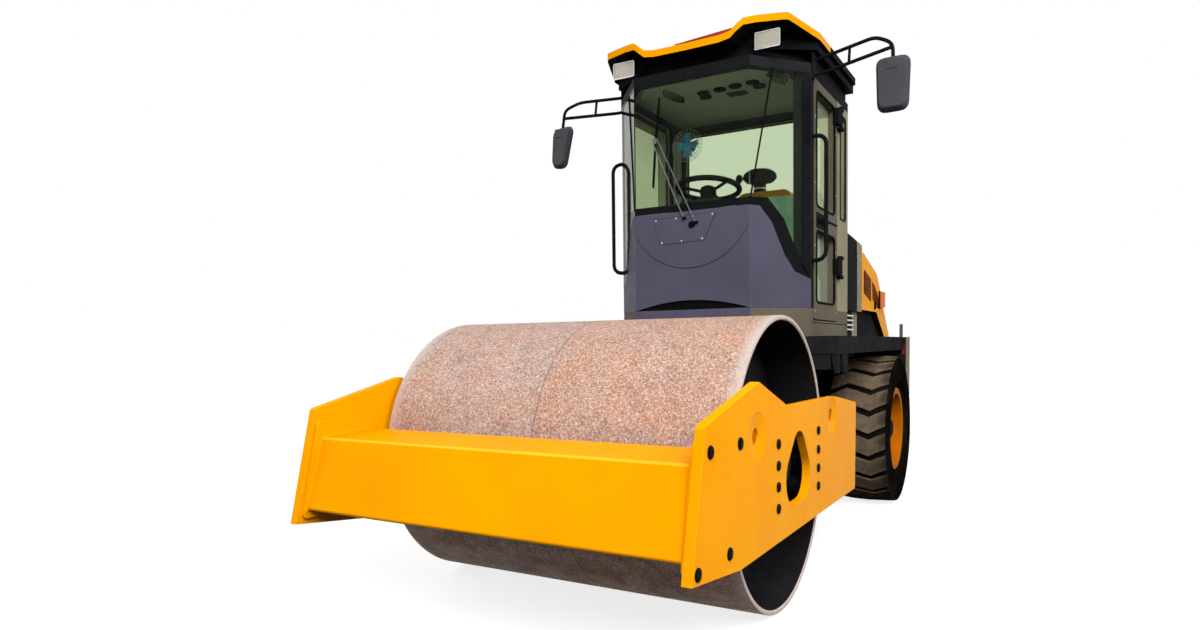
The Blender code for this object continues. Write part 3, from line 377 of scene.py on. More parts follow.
    def nudge(self, rule: Callable[[Vector], bool], move: Triple) -> "Form":
        """Moves the corners that the rule accepts, and merges what comes together.

        Args:
            rule: which corners, by their place.
            move: how far they go.

        Returns:
            The form.
        """
        with self.editing():
            self.pick(Part.VERT, lambda corner: rule(corner.co))
            bpy.ops.transform.translate(value=move)
            bpy.ops.mesh.select_all(action="SELECT")
            self.merge()
        return self

    def swing(self, rule: Callable[[Vector], bool], degrees: float, axis: str, at: Triple) -> "Form":
        """Turns the corners that the rule accepts about an axis.

        Args:
            rule: which corners, by their place.
            degrees: how far, where the other way round is above nought.
            axis: X, Y or Z.
            at: a point on the axis.

        Returns:
            The form.
        """
        with self.editing():
            self.pick(Part.VERT, lambda corner: rule(corner.co))
            bpy.ops.transform.rotate(value=-radians(degrees), orient_axis=axis, center_override=at)
        return self

    def inset(self, rule: Rule, width: float, depth: float = 0.0, apart: bool = False) -> "Form":
        """Insets the faces that the rule accepts, and sinks them.

        Args:
            rule: which faces.
            width: how far in the new edge lies.
            depth: how far the faces rise, or sink where it is below nought.
            apart: whether each face is inset by itself.

        Returns:
            The form.
        """
        with self.editing():
            self.pick_faces(rule)
            bpy.ops.mesh.inset(thickness=width, depth=depth, use_individual=apart)
        return self

    def extrude(self, rule: Rule, move: Triple) -> "Form":
        """Draws the faces that the rule accepts out along a move."""
        with self.editing():
            self.pick_faces(rule)
            bpy.ops.mesh.extrude_region_move(TRANSFORM_OT_translate={"value": Vector(move)})
        return self

    def shrink(self, rule: Rule, scale: Triple, about: Triple) -> "Form":
        """Scales the faces that the rule accepts about a point."""
        with self.editing():
            self.pick_faces(rule)
            bpy.ops.transform.resize(value=scale, center_override=about)
        return self

    def cut(self, place: Triple, normal: Triple) -> "Form":
        """Cuts a line of edges where a plane meets the form."""
        with self.editing(everything=True):
            bpy.ops.mesh.bisect(plane_co=place, plane_no=normal)
        return self

    def modify(self, kind: str, **settings: object) -> "Form":
        """Adds a modifier with the settings given and applies it."""
        self.alone()
        bpy.ops.object.modifier_add(type=kind)
        modifier = self.obj.modifiers[-1]
        for key, value in settings.items():
            setattr(modifier, key, value)
        bpy.ops.object.modifier_apply(modifier=modifier.name)
        return self

    def ease(self, width: float, segments: int = 2, angle: float = 30) -> "Form":
        """Rounds the sharp edges.

        Args:
            width: the round's width.
            segments: how many steps it has.
            angle: the least angle in degrees between the faces of a rounded edge.

        Returns:
            The form.
        """
        return self.modify("BEVEL", width=width, segments=segments, limit_method="ANGLE",
                           angle_limit=radians(angle), use_clamp_overlap=True,
                           miter_outer="MITER_ARC")

    def smooth(self, angle: float = 40) -> "Form":
        """Shades smooth across edges flatter than the angle, with flat faces kept flat."""
        self.alone()
        bpy.ops.object.shade_smooth_by_angle(angle=radians(angle))
        return self.modify("WEIGHTED_NORMAL", keep_sharp=True, weight=50)

    def join(self, *others: "Form") -> "Form":
        """Joins other forms into this one."""
        self.alone()
        for other in others:
            other.obj.select_set(True)
        bpy.ops.object.join()
        return self

    def moved(self, matrix: Matrix) -> "Form":
        """Moves the mesh by a matrix."""
        self.obj.data.transform(matrix)
        return self

    def repeat(self, moves: Sequence[Matrix]) -> "Form":
        """Replaces the form with copies of itself, each moved, in one piece.

        Args:
            moves: where each copy goes, from where the form is.

        Returns:
            The form.
        """
        copies = []
        for move in moves:
            obj = self.obj.copy()
            obj.data = self.obj.data.copy()
            bpy.context.scene.collection.objects.link(obj)
            obj.data.transform(move)
            copies.append(Form(obj))
        name = self.obj.name
        bpy.data.objects.remove(self.obj)
        first = joined(copies)
        first.obj.name = first.obj.data.name = name
        self.obj = first.obj
        return self

    def done(self, finish: "Finish", *nodes: str, body: str = "rear_frame", angle: float = 40) -> "Form":
        """Finishes the piece and puts it on its body.

        Args:
            finish: its finish.
            nodes: the CAD nodes that it stands for.
            body: the CAD body that it rides on.
            angle: the least angle in degrees that stays a sharp edge.

        Returns:
            The form.
        """
        self.smooth(angle)
        self.obj.data.materials.clear()
        self.obj.data.materials.append(finish.material())
        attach(self.obj, body)
        if nodes:
            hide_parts(*nodes)
        LOG.info("%s on %s, %d faces", self.obj.name, body, len(self.obj.data.polygons))
        return self

    def also(self, finish: "Finish", rule: Rule) -> "Form":
        """Gives the faces that the rule accepts another finish."""
        mesh = self.obj.data
        mesh.materials.append(finish.material())
        for face in mesh.polygons:
            if rule(face.center, face.normal):
                face.material_index = len(mesh.materials) - 1
        return self


def joined(forms: Sequence[Form]) -> Form:
    """Joins forms into the first of them."""
    return forms[0].join(*forms[1:]) if len(forms) > 1 else forms[0]


def eased(points: Sequence[Triple], bend: float, closed: bool) -> list[Vector]:
    """Rounds the corners of a line of points.

    Args:
        points: the corners.
        bend: how far before each corner the turn starts.
        closed: whether the line runs back to its first point.

    Returns:
        The points of the rounded line.
    """
    path = [Vector(p) for p in points]
    if not bend:
        return path
    out = []
    for k, corner in enumerate(path):
        if not closed and k in (0, len(path) - 1):
            out.append(corner)
            continue
        before, after = path[k - 1] - corner, path[(k + 1) % len(path)] - corner
        start = corner + before.normalized() * min(bend, before.length * 0.49)
        end = corner + after.normalized() * min(bend, after.length * 0.49)
        out += [start.lerp(corner, t).lerp(corner.lerp(end, t), t) for t in (0, 0.25, 0.5, 0.75, 1)]
    return out


def dress(node: str, finish: "Finish", edge: float = 0.003, segments: int = 2, angle: float = 30) -> Form:
    """Stands an eased copy of a CAD node in for the node.

    Args:
        node: the CAD node.
        finish: the copy's finish.
        edge: how far its edges are rounded.
        segments: how many steps the rounding has.
        angle: the least angle in degrees between the faces of a rounded edge.

    Returns:
        The copy.
    """
    form = Form.copy_of(node)
    if edge:
        form.ease(edge, segments, angle)
    return form.done(finish, node, body=frame["nodes"][node]["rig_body"])


# Finishes

def linear(colour: Triple) -> tuple[float, float, float, float]:
    """Turns a screen colour, 0 to 255, into the linear one that shaders take."""
    def step(c: float) -> float:
        """Converts one channel."""
        c /= 255
        return c / 12.92 if c <= 0.04045 else ((c + 0.055) / 1.055) ** 2.4
    return (*(step(c) for c in colour), 1.0)


class Nodes:
    """A tree of shader nodes, laid down a step at a time."""

    def __init__(self, owner: bpy.types.ID) -> None:
        """Starts on a material's or a world's own tree."""
        owner.use_nodes = True
        self.tree = owner.node_tree

    def feed(self, target: bpy.types.NodeSocket, source: object) -> None:
        """Links a socket to a socket, or sets it to a plain value."""
        if isinstance(source, bpy.types.NodeSocket):
            self.tree.links.new(source, target)
        else:
            target.default_value = source

    def step(self, kind: str, output: str | int, inputs: dict, **settings: object) -> bpy.types.NodeSocket:
        """Adds a node and feeds it.

        Args:
            kind: the node's type, without the prefix that all have.
            output: which of its outputs is wanted.
            inputs: what each input gets, a value or a socket.
            settings: the node's own settings.

        Returns:
            The output.
        """
        made = self.tree.nodes.new("ShaderNode" + kind)
        for key, value in settings.items():
            setattr(made, key, value)
        for key, value in inputs.items():
            self.feed(made.inputs[key], value)
        return made.outputs[output]

    def sum(self, operation: str, *values: object) -> bpy.types.NodeSocket:
        """Works out one step of arithmetic."""
        return self.step("Math", 0, dict(enumerate(values)), operation=operation)

    def seen(self) -> bpy.types.NodeSocket:
        """Gives 1 where a ray comes from the camera, a reflection or through glass."""
        rays = [self.step("LightPath", "Is %s Ray" % kind, {})
                for kind in ("Camera", "Glossy", "Transmission")]
        return self.sum("MAXIMUM", self.sum("MAXIMUM", *rays[:2]), rays[2])


class Shader(Nodes):
    """The nodes of one material."""

    def __init__(self, name: str) -> None:
        """Starts a material with a Principled shader and the piece's own coordinates."""
        self.material = bpy.data.materials.new(name)
        super().__init__(self.material)
        self.skin = self.tree.nodes["Principled BSDF"]
        self.place = self.step("TexCoord", "Object", {})

    def stretch(self, scale: Triple) -> bpy.types.NodeSocket:
        """Gives the piece's coordinates stretched by a scale."""
        return self.step("Mapping", "Vector", {"Vector": self.place, "Scale": scale})

    def noise(self, scale: float, detail: float = 4, rough: float = 0.55,
              place: bpy.types.NodeSocket | None = None) -> bpy.types.NodeSocket:
        """Gives a noise from 0 to 1, with so many blotches to a metre and so many finer layers."""
        return self.step("TexNoise", "Fac", {"Vector": place or self.place, "Scale": scale, "Detail": detail,
                                             "Roughness": rough})

    def cells(self, scale: float) -> bpy.types.NodeSocket:
        """Gives the distance to the middle of the nearest of many small cells."""
        return self.step("TexVoronoi", "Distance", {"Vector": self.place, "Scale": scale})

    def axis(self, name: str) -> bpy.types.NodeSocket:
        """Gives one of the piece's coordinates, X, Y or Z."""
        return self.step("SeparateXYZ", name, {0: self.place})

    def spread(self, value: bpy.types.NodeSocket, low: float, high: float, to_low: float = 0.0,
               to_high: float = 1.0) -> bpy.types.NodeSocket:
        """Maps a value's range, from low to high, to another, and holds it there."""
        return self.step("MapRange", "Result", {"Value": value, "From Min": low,
                                                "From Max": high, "To Min": to_low, "To Max": to_high},
                         interpolation_type="SMOOTHSTEP")

    def patches(self, scale: float, detail: float, rough: float, *span: float) -> bpy.types.NodeSocket:
        """Gives a noise spread over a span, as noise and spread take them."""
        return self.spread(self.noise(scale, detail, rough), *span)

    def blend(self, share: object, first: object, second: object) -> bpy.types.NodeSocket:
        """Mixes two colours by a share."""
        return self.step("Mix", 2, {0: share, 6: first, 7: second}, data_type="RGBA")

    def tint(self, tone: object, share: bpy.types.NodeSocket, most: float, colour: Triple
             ) -> bpy.types.NodeSocket:
        """Lays a screen colour over a tone by a share, and by no more than the most."""
        return self.blend(self.sum("MULTIPLY", share, most), tone, linear(colour))

    def bump(self, height: bpy.types.NodeSocket, depth: float, strength: float = 1.0,
             below: bpy.types.NodeSocket | None = None) -> bpy.types.NodeSocket:
        """Lays a relief over the surface, or over another one below it, and gives the bent normal."""
        return self.step("Bump", "Normal", {"Height": height, "Distance": depth, "Strength": strength,
                                            **({"Normal": below} if below else {})})

    def skin_is(self, **sockets: object) -> None:
        """Sets or links the Principled shader's sockets, with spaces written as underscores."""
        for key, value in sockets.items():
            self.feed(self.skin.inputs[key.replace("_", " ")], value)

    def show(self, surface: bpy.types.NodeSocket) -> None:
        """Gives the material another surface than its Principled shader."""
        self.feed(self.tree.nodes["Material Output"].inputs["Surface"], surface)


@dataclass(frozen=True)
class Finish:
    """A surface. Each kind of surface lays its own nodes in paint_on."""
    name: str
    slot: str
    colour: Triple

    def material(self) -> bpy.types.Material:
        """Gives the finish's material, made the first time that it is asked for."""
        made = bpy.data.materials.get(self.name)
        if made is None:
            shader = Shader(self.name)
            self.paint_on(shader)
            made = shader.material
            made.diffuse_color = linear(self.colour)
        return made

    def paint_on(self, shader: Shader) -> None:
        """Lays the finish's nodes."""
        raise NotImplementedError


@dataclass(frozen=True)
class Paint(Finish):
    """Sprayed paint: faint clouding, orange peel, patches of dust and a soft gloss."""
    faded: Triple = (0, 0, 0)
    rough: Pair = (0.24, 0.36)
    peel: float = 0.00012
    shine: float = 0.006
    dust: float = 0.1

    def paint_on(self, shader: Shader) -> None:
        """Lays the paint's nodes."""
        cloud = shader.patches(2.2, 5, 0.55, 0.3, 0.75)
        speck = shader.patches(38, 6, 0.7, 0.56, 0.74)
        grime = shader.patches(7.5, 8, 0.68, 0.5, 0.8, 0.0, self.dust)
        tone = shader.blend(cloud, linear(self.colour), linear(self.faded))
        tone = shader.tint(tone, speck, 0.12, (120, 96, 70))
        tone = shader.blend(grime, tone, linear((112, 98, 82)))
        shader.skin_is(
            Base_Color=tone,
            Roughness=shader.patches(16, 6, 0.55, 0.25, 0.8, *self.rough),
            Specular_IOR_Level=self.shine,
            Normal=shader.bump(shader.noise(260, 3), self.peel, 0.6))


@dataclass(frozen=True)
class RolledSteel(Finish):
    """The drum's shell: rusty plate, mottled brown and pink, bare and scuffed at its ends."""
    half: float = 0.84
    seam: float = -0.027      # where the shell's two rolled plates meet
    # noise's scale, detail and roughness, the span's low and high, the most, and the colour
    stains: tuple[tuple, ...] = (
        (3.4, 8, 0.62, 0.34, 0.68, 0.45, (188, 158, 145)),
        (13, 8, 0.72, 0.36, 0.66, 0.48, (138, 108, 94)),
        (5.5, 8, 0.7, 0.46, 0.66, 0.55, (190, 126, 88)),
        (78, 7, 0.82, 0.51, 0.6, 0.62, (88, 62, 50)),
        (118, 6, 0.8, 0.49, 0.575, 0.66, (232, 216, 206)))

    def paint_on(self, shader: Shader) -> None:
        """Lays the plate's nodes."""
        across = shader.axis("X")
        patch = shader.patches(*self.stains[1][:5])
        drag = shader.spread(shader.noise(22, 8, 0.75, shader.stretch((8, 1, 1))), 0.56, 0.72)
        plates = shader.spread(across, self.seam - 0.004, self.seam + 0.004)
        tone = shader.blend(plates, linear((174, 144, 131)), linear((178, 132, 110)))
        for *stain, most, colour in self.stains:
            tone = shader.tint(tone, shader.patches(*stain), most, colour)
        tone = shader.tint(tone, drag, 0.38, (218, 204, 196))
        tone = shader.tint(tone, shader.patches(37, 4, 0.6, 0.66, 0.72), 0.8, (92, 68, 62))
        off = shader.sum("ABSOLUTE", shader.sum("SUBTRACT", across, self.seam))
        tone = shader.blend(shader.spread(off, 0.002, 0.007, 0.5, 0.0), tone, linear((112, 92, 90)))
        reach = shader.sum("ADD", shader.sum("ABSOLUTE", across),
                           shader.sum("MULTIPLY", shader.noise(9, 6), 0.05))
        end = shader.spread(reach, self.half - 0.045, self.half + 0.022, 0.0, 0.75)
        tone = shader.blend(end, tone, linear((202, 190, 182)))
        relief = shader.bump(shader.noise(34, 8, 0.7), 0.003, 0.6)
        shader.skin_is(
            Base_Color=tone,
            Metallic=0.1,
            Specular_IOR_Level=0.08,
            Roughness=shader.spread(patch, 0.0, 1.0, 0.56, 0.78),
            Normal=shader.bump(shader.noise(240, 5, 0.8), 0.0009, 0.7, relief))


@dataclass(frozen=True)
class Metal(Finish):
    """Bare or plated metal, with fine turning marks and dull patches."""
    rough: Pair = (0.22, 0.42)
    metallic: float = 1.0
    soil: Triple = (70, 62, 54)

    def paint_on(self, shader: Shader) -> None:
        """Lays the metal's nodes."""
        streak = shader.noise(60, 4, 0.6, shader.stretch((1, 1, 9)))
        shader.skin_is(Base_Color=shader.tint(linear(self.colour), shader.patches(14, 7, 0.65, 0.45, 0.78),
                                              0.45, self.soil),
                       Metallic=self.metallic, Roughness=shader.spread(streak, 0.3, 0.7, *self.rough),
                       Normal=shader.bump(streak, 0.0002, 0.5))


@dataclass(frozen=True)
class Rubber(Finish):
    """Tyre rubber: black in its grooves and walls, dusty tan on the tread that meets the ground."""
    dust: Triple = (132, 115, 94)
    axle: Pair = REAR_AXLE
    tread: Pair = (0.5, 0.514)

    def paint_on(self, shader: Shader) -> None:
        """Lays the rubber's nodes."""
        y = shader.sum("SUBTRACT", shader.axis("Y"), self.axle[0])
        z = shader.sum("SUBTRACT", shader.axis("Z"), self.axle[1])
        reach = shader.sum("SQRT", shader.sum("ADD", *(shader.sum("MULTIPLY", a, a) for a in (y, z))))
        tread = shader.spread(reach, *self.tread)
        knurl = shader.spread(shader.cells(120), 0.15, 0.5, 0.55, 1.0)
        cloud = shader.sum("MULTIPLY", shader.patches(16, 8, 0.7, 0.3, 0.72, 0.55, 1.0), knurl)
        soil = shader.patches(5, 6, 0.55, 0.4, 0.75, 0.0, 0.05)
        share = shader.sum("MAXIMUM", shader.sum("MULTIPLY", tread, cloud), soil)
        shader.skin_is(
            Base_Color=shader.blend(share, linear(self.colour), linear(self.dust)),
            Roughness=shader.patches(40, 5, 0.55, 0.3, 0.7, 0.72, 0.92),
            Specular_IOR_Level=0.0,
            Normal=shader.bump(shader.noise(190, 5, 0.7), 0.0006, 0.7))


@dataclass(frozen=True)
class Plastic(Finish):
    """Moulded plastic with a leathery grain."""
    pale: Triple = (60, 60, 60)
    rough: Pair = (0.42, 0.6)
    grain: float = 900

    def paint_on(self, shader: Shader) -> None:
        """Lays the plastic's nodes."""
        cloud = shader.patches(6, 6, 0.55, 0.4, 0.8, 0.0, 0.5)
        pits = shader.spread(shader.cells(self.grain), 0.1, 0.6)
        shader.skin_is(
            Base_Color=shader.blend(cloud, linear(self.colour), linear(self.pale)),
            Roughness=shader.patches(24, 5, 0.55, 0.3, 0.7, *self.rough),
            Specular_IOR_Level=0.012,
            Normal=shader.bump(pits, 0.00012, 0.35))


@dataclass(frozen=True)
class Lens(Finish):
    """A lamp's glass or plastic, with the ribs pressed in its inside."""
    ribs: float = 140
    rough: float = 0.12
    metallic: float = 0.0

    def paint_on(self, shader: Shader) -> None:
        """Lays the lens's nodes."""
        lobes = shader.cells(self.ribs)
        deep = linear(tuple(c * 0.72 for c in self.colour))
        shader.skin_is(
            Base_Color=shader.blend(shader.spread(lobes, 0.1, 0.7), linear(self.colour), deep),
            Metallic=self.metallic,
            Roughness=self.rough,
            Coat_Weight=0.8,
            Coat_Roughness=0.04,
            Normal=shader.bump(lobes, 0.0014, 0.8))


@dataclass(frozen=True)
class Glass(Finish):
    """Tinted safety glass that lets the lamps through to what is behind it."""
    haze: float = 0.0

    def paint_on(self, shader: Shader) -> None:
        """Lays the glass's nodes."""
        film = shader.patches(5, 6, 0.6, 0.35, 0.8, 0.0, 0.025)
        shader.skin_is(
            Base_Color=linear(self.colour),
            Roughness=film,
            IOR=1.14,
            Specular_IOR_Level=0.03,
            Transmission_Weight=1.0 - self.haze,
            Normal=shader.bump(shader.noise(1.6, 2), 0.002, 0.15))
        clear = shader.step("BsdfTransparent", 0, {"Color": linear(self.colour)})
        shadow = shader.step("LightPath", "Is Shadow Ray", {})
        shader.show(shader.step("MixShader", 0, {0: shadow, 1: shader.skin.outputs[0], 2: clear}))


@dataclass(frozen=True)
class Cloth(Finish):
    """Woven seat cloth."""
    thread: Triple = (40, 70, 80)
    pitch: float = 520

    def paint_on(self, shader: Shader) -> None:
        """Lays the cloth's nodes."""
        weave = [shader.step("TexWave", "Fac", {"Vector": shader.place, "Scale": self.pitch,
                                                "Distortion": 0.6}, bands_direction=direction)
                 for direction in ("X", "Z")]
        height = shader.sum("MULTIPLY", *weave)
        cloud = shader.patches(11, 6, 0.55, 0.35, 0.7, 0.0, 0.6)
        share = shader.sum("MAXIMUM", shader.sum("MULTIPLY", height, 0.7), cloud)
        shader.skin_is(
            Base_Color=shader.blend(share, linear(self.colour), linear(self.thread)),
            Roughness=shader.patches(60, 4, 0.55, 0.3, 0.7, 0.82, 0.96),
            Sheen_Weight=0.3,
            Normal=shader.bump(height, 0.0008, 0.7))


YELLOW = Paint("machine_paint", "machine_yellow", (252, 166, 0), (247, 156, 2), dust=0.03)
# painted highlight: a paler yellow on rounded edges, for the light that they catch
YELLOW_EDGE_HIGHLIGHT = Paint("machine_paint_edge", "machine_yellow", (255, 190, 46), (252, 178, 30), dust=0.0)
ROOF_YELLOW = Paint("roof_paint", "machine_yellow", (240, 156, 2), (232, 146, 4), dust=0.03)
# painted shade: a darker copy of the machine yellow, for the rim's dish and the bottoms of the lifting holes
YELLOW_PAINTED_SHADE = Paint("rim_paint", "machine_yellow", (196, 112, 8), (176, 96, 10), shine=0.002, dust=0.08)
# painted shade: dark brown for the shade inside the hood's vents
VENT_SHADE = Paint("vent_screen", "trim_plastic", (92, 42, 18), (74, 32, 14), shine=0.001, dust=0.1)
CAB_GREY = Paint("cab_paint", "cab_grey", (84, 82, 99), (74, 72, 88), rough=(0.2, 0.32), dust=0.04)
# painted highlight: a pale grey on the cab panel's rounded creases and edges
GREY_EDGE_HIGHLIGHT = Paint("cab_paint_edge", "cab_grey", (150, 150, 168), (134, 134, 152), dust=0.0)
# painted shade: a darker, shaded copy of the pillars' beige-grey
GREY_PAINTED_SHADE = Paint("cab_frame_paint", "cab_grey", (106, 99, 84), (92, 86, 73), shine=0.002, dust=0.08)
PILLAR_GREY = Paint("pillar_paint", "cab_grey", (152, 145, 120), (136, 129, 106), shine=0.002, dust=0.08)
BLACK = Paint("chassis_paint", "black_paint", (28, 28, 31), (38, 38, 42), rough=(0.42, 0.62),
              shine=0.001, dust=0.05)
SATIN = Paint("satin_black", "black_paint", (20, 21, 23), (28, 29, 31), rough=(0.32, 0.46),
              shine=0.001, dust=0.02)
# painted shade: red-brown for the yellow roof's middle in shade
HATCH_PAINTED_SHADE = Paint("hatch_paint", "machine_yellow", (150, 62, 44), (132, 52, 40), dust=0.15)
PRINT = Paint("screen_print_black", "black_paint", (14, 16, 17), (20, 22, 23), (0.08, 0.14), peel=0.0,
              shine=0.04, dust=0.0)
MESH = Paint("vent_mesh", "trim_plastic", (176, 92, 30), (122, 60, 22), (0.55, 0.7), shine=0.01, dust=0.2)
PALE = Paint("louvre_paint", "machine_yellow", (244, 243, 238), (232, 230, 224), dust=0.03)
DRUM = RolledSteel("drum_plate", "drum_steel", (208, 170, 150))
DULL = Metal("dull_steel_finish", "dull_steel", (150, 148, 144), (0.34, 0.55), 0.9)
CHROME = Metal("ram_chrome", "rod_chrome", (214, 214, 216), (0.06, 0.16))
BRIGHT = Metal("bolt_zinc", "dull_steel", (196, 194, 186), (0.26, 0.4))
RUBBER = Rubber("tyre_rubber_finish", "tyre_rubber", (16, 14, 12))
GASKET = Plastic("gasket_rubber", "trim_plastic", (14, 14, 15), (24, 24, 26), (0.55, 0.75))
TRIM = Plastic("trim_moulding", "trim_plastic", (34, 35, 38), (46, 47, 50))
CONSOLE = Plastic("ceiling_moulding", "trim_plastic", (126, 134, 118), (138, 146, 130))
CLEAR = Glass("tinted_glass", "pane_glass", (221, 231, 210))
CLOTH = Cloth("seat_cloth", "seat_fabric", (158, 196, 184), (96, 140, 136))
# painted reflection: pale matte white instead of the chrome reflector's glint, bright even in the roof's
# shade
REFLECTOR_PAINTED_GLINT = Lens("lamp_reflector", "lamp_plastic", (208, 202, 184), 340, 0.2)
BLUE = Plastic("fan_blue", "trim_plastic", (52, 178, 252), (92, 200, 255), (0.3, 0.42))
AMBER = Lens("amber_lens", "amber_plastic", (252, 132, 4), 160)
RED = Lens("red_lens", "amber_plastic", (178, 26, 22), 200)
HAZY = Glass("door_pane", "pane_glass", (196, 204, 176), haze=0.26)
SHELL = Plastic("mirror_shell", "trim_plastic", (68, 70, 74), (86, 88, 94))
ARM = Metal("wiper_arm_steel", "dull_steel", (104, 104, 116), (0.34, 0.55), 0.4)
MIRROR = Metal("mirror_silver", "rod_chrome", (222, 226, 228), (0.02, 0.05))


# Stage

@dataclass
class Studio:
    """The camera, the floor and the light."""
    eye: Triple = (1.824, -4.536, 1.132)
    azimuth: float = 30.928
    elevation: float = -2.55
    roll: float = -0.708
    lens: float = 23.378
    shift: Pair = (0.00815, 0.0544)
    floor_half: float = 60.0

    def set_camera(self) -> None:
        """Puts the camera where the photograph was taken from."""
        turn, rise, tilt = (radians(a) for a in (self.azimuth, self.elevation, self.roll))
        ahead = Vector((-sin(turn) * cos(rise), cos(turn) * cos(rise), sin(rise)))
        level = Vector((cos(turn), sin(turn), 0))
        upright = level.cross(ahead)
        right = level * cos(tilt) + upright * sin(tilt)
        up = upright * cos(tilt) - level * sin(tilt)
        data = bpy.data.cameras.new("camera")
        data.sensor_width = 36
        data.lens = self.lens
        data.shift_x, data.shift_y = self.shift
        data.clip_start, data.clip_end = 0.1, 300
        camera = bpy.data.objects.new("camera", data)
        bpy.context.scene.collection.objects.link(camera)
        axes = Matrix((right, up, -ahead)).transposed().to_4x4()
        camera.matrix_world = Matrix.Translation(self.eye) @ axes
        bpy.context.scene.camera = camera

    def lay_floor(self) -> None:
        """Lays a pale floor that the object's shadow falls on."""
        deselect()
        bpy.ops.mesh.primitive_plane_add(size=2 * self.floor_half)
        floor = bpy.context.object
        floor.name = floor.data.name = "floor"
        shader = Shader("floor_sheet")
        pale, dark = (shader.step("BsdfDiffuse", 0, {"Color": (level, level, level, 1)})
                      for level in (0.36, 0.03))
        far = shader.step("VectorMath", "Value", {0: shader.place}, operation="LENGTH")
        glow = shader.step("Emission", 0, {"Color": (1, 1, 1, 1),
                                           "Strength": shader.spread(far, 3.5, 9.0, 0.8, 0.98)})
        both = shader.step("AddShader", 0, {0: pale, 1: glow})
        shader.show(shader.step("MixShader", 0, {0: shader.seen(), 1: dark, 2: both}))
        floor.data.materials.append(shader.material)

    def light(self) -> None:
        """Sets the plain world light and the soft lamps."""
        world = bpy.data.worlds.new("studio")
        bpy.context.scene.world = world
        nodes = Nodes(world)
        back = nodes.tree.nodes["Background"]
        back.inputs["Color"].default_value = (1, 1, 1, 1)
        level = nodes.step("MapRange", "Result", {"Value": nodes.seen(), "To Min": 0.26, "To Max": 1.0})
        nodes.feed(back.inputs["Strength"], level)
        self.lamp("key", (4.0, -6.8, 6.0), (0, -0.6, 0.9), 4.6, 760)
        self.lamp("side", (7.2, -1.6, 4.2), (0.6, -0.8, 0.9), 4.0, 260)
        self.lamp("fill", (-6.5, -4.5, 4.4), (0, -0.6, 1.0), 5.0, 280)
        self.lamp("back", (2.0, 6.5, 6.0), (0, 0.6, 1.2), 5.0, 220)

    def lamp(self, name: str, place: Triple, aim: Triple, size: float, power: float) -> None:
        """Hangs one soft lamp.

        Args:
            name: its name.
            place: where it hangs.
            aim: what it points at.
            size: how wide it is.
            power: its power in watts.
        """
        data = bpy.data.lights.new(name, "AREA")
        data.size = size
        data.energy = power
        obj = bpy.data.objects.new(name, data)
        bpy.context.scene.collection.objects.link(obj)
        obj.visible_glossy = obj.visible_transmission = False
        obj.location = place
        obj.rotation_mode = "QUATERNION"
        obj.rotation_quaternion = (Vector(aim) - Vector(place)).to_track_quat("-Z", "Y")

    def build(self) -> None:
        """Sets up the whole stage."""
        self.set_camera()
        self.lay_floor()
        self.light()
        bpy.context.scene.view_settings.view_transform = "Standard"


# Small parts that several sub-assemblies share

def shift(x: float = 0.0, y: float = 0.0, z: float = 0.0) -> Matrix:
    """Gives a plain move."""
    return Matrix.Translation((x, y, z))


def turned(angle: float, axis: str, about: Triple) -> Matrix:
    """Gives a turn about a line.

    Args:
        angle: how far, in degrees.
        axis: X, Y or Z.
        about: a point on the line.

    Returns:
        The turn.
    """
    there = Matrix.Translation(about)
    return there @ Matrix.Rotation(radians(angle), 4, axis) @ there.inverted()


def bolt(name: str, seat: Triple, way: Triple, size: float, sides: int = 6) -> Form:
    """Models a bolt's head on its washer.

    Args:
        name: the piece's name.
        seat: where it meets the part.
        way: the way that it stands out.
        size: the head's radius.
        sides: six for a hexagon, more for a round cap.

    Returns:
        The bolt.
    """
    seat, way = Vector(seat), Vector(way).normalized()
    washer = Form.rod(name, seat - way * 0.001, seat + way * size * 0.16, size * 1.25, 20)
    head = Form.rod(name + "_head", seat, seat + way * size * 0.62, size, sides)
    return washer.join(head.ease(size * 0.12, 1))


def cap(name: str, seat: Triple, way: Triple, radius: float, height: float) -> Form:
    """Models a shallow domed cap, such as the cover of a sunk bolt."""
    dome = ((-0.001, 0), (-0.001, radius), (height * 0.45, radius), (height * 0.85, radius * 0.9),
            (height, radius * 0.7), (height * 0.9, radius * 0.35), (height * 0.9, 0))
    return Form.lathe(name, dome, seat, way, 28, closed=False)


def bead(name: str, points: Sequence[Triple], radius: float = 0.004, closed: bool = False) -> Form:
    """Models a run of weld."""
    return Form.tube(name, points, radius, 8, 0.004, closed)


# Drum and the frame round it

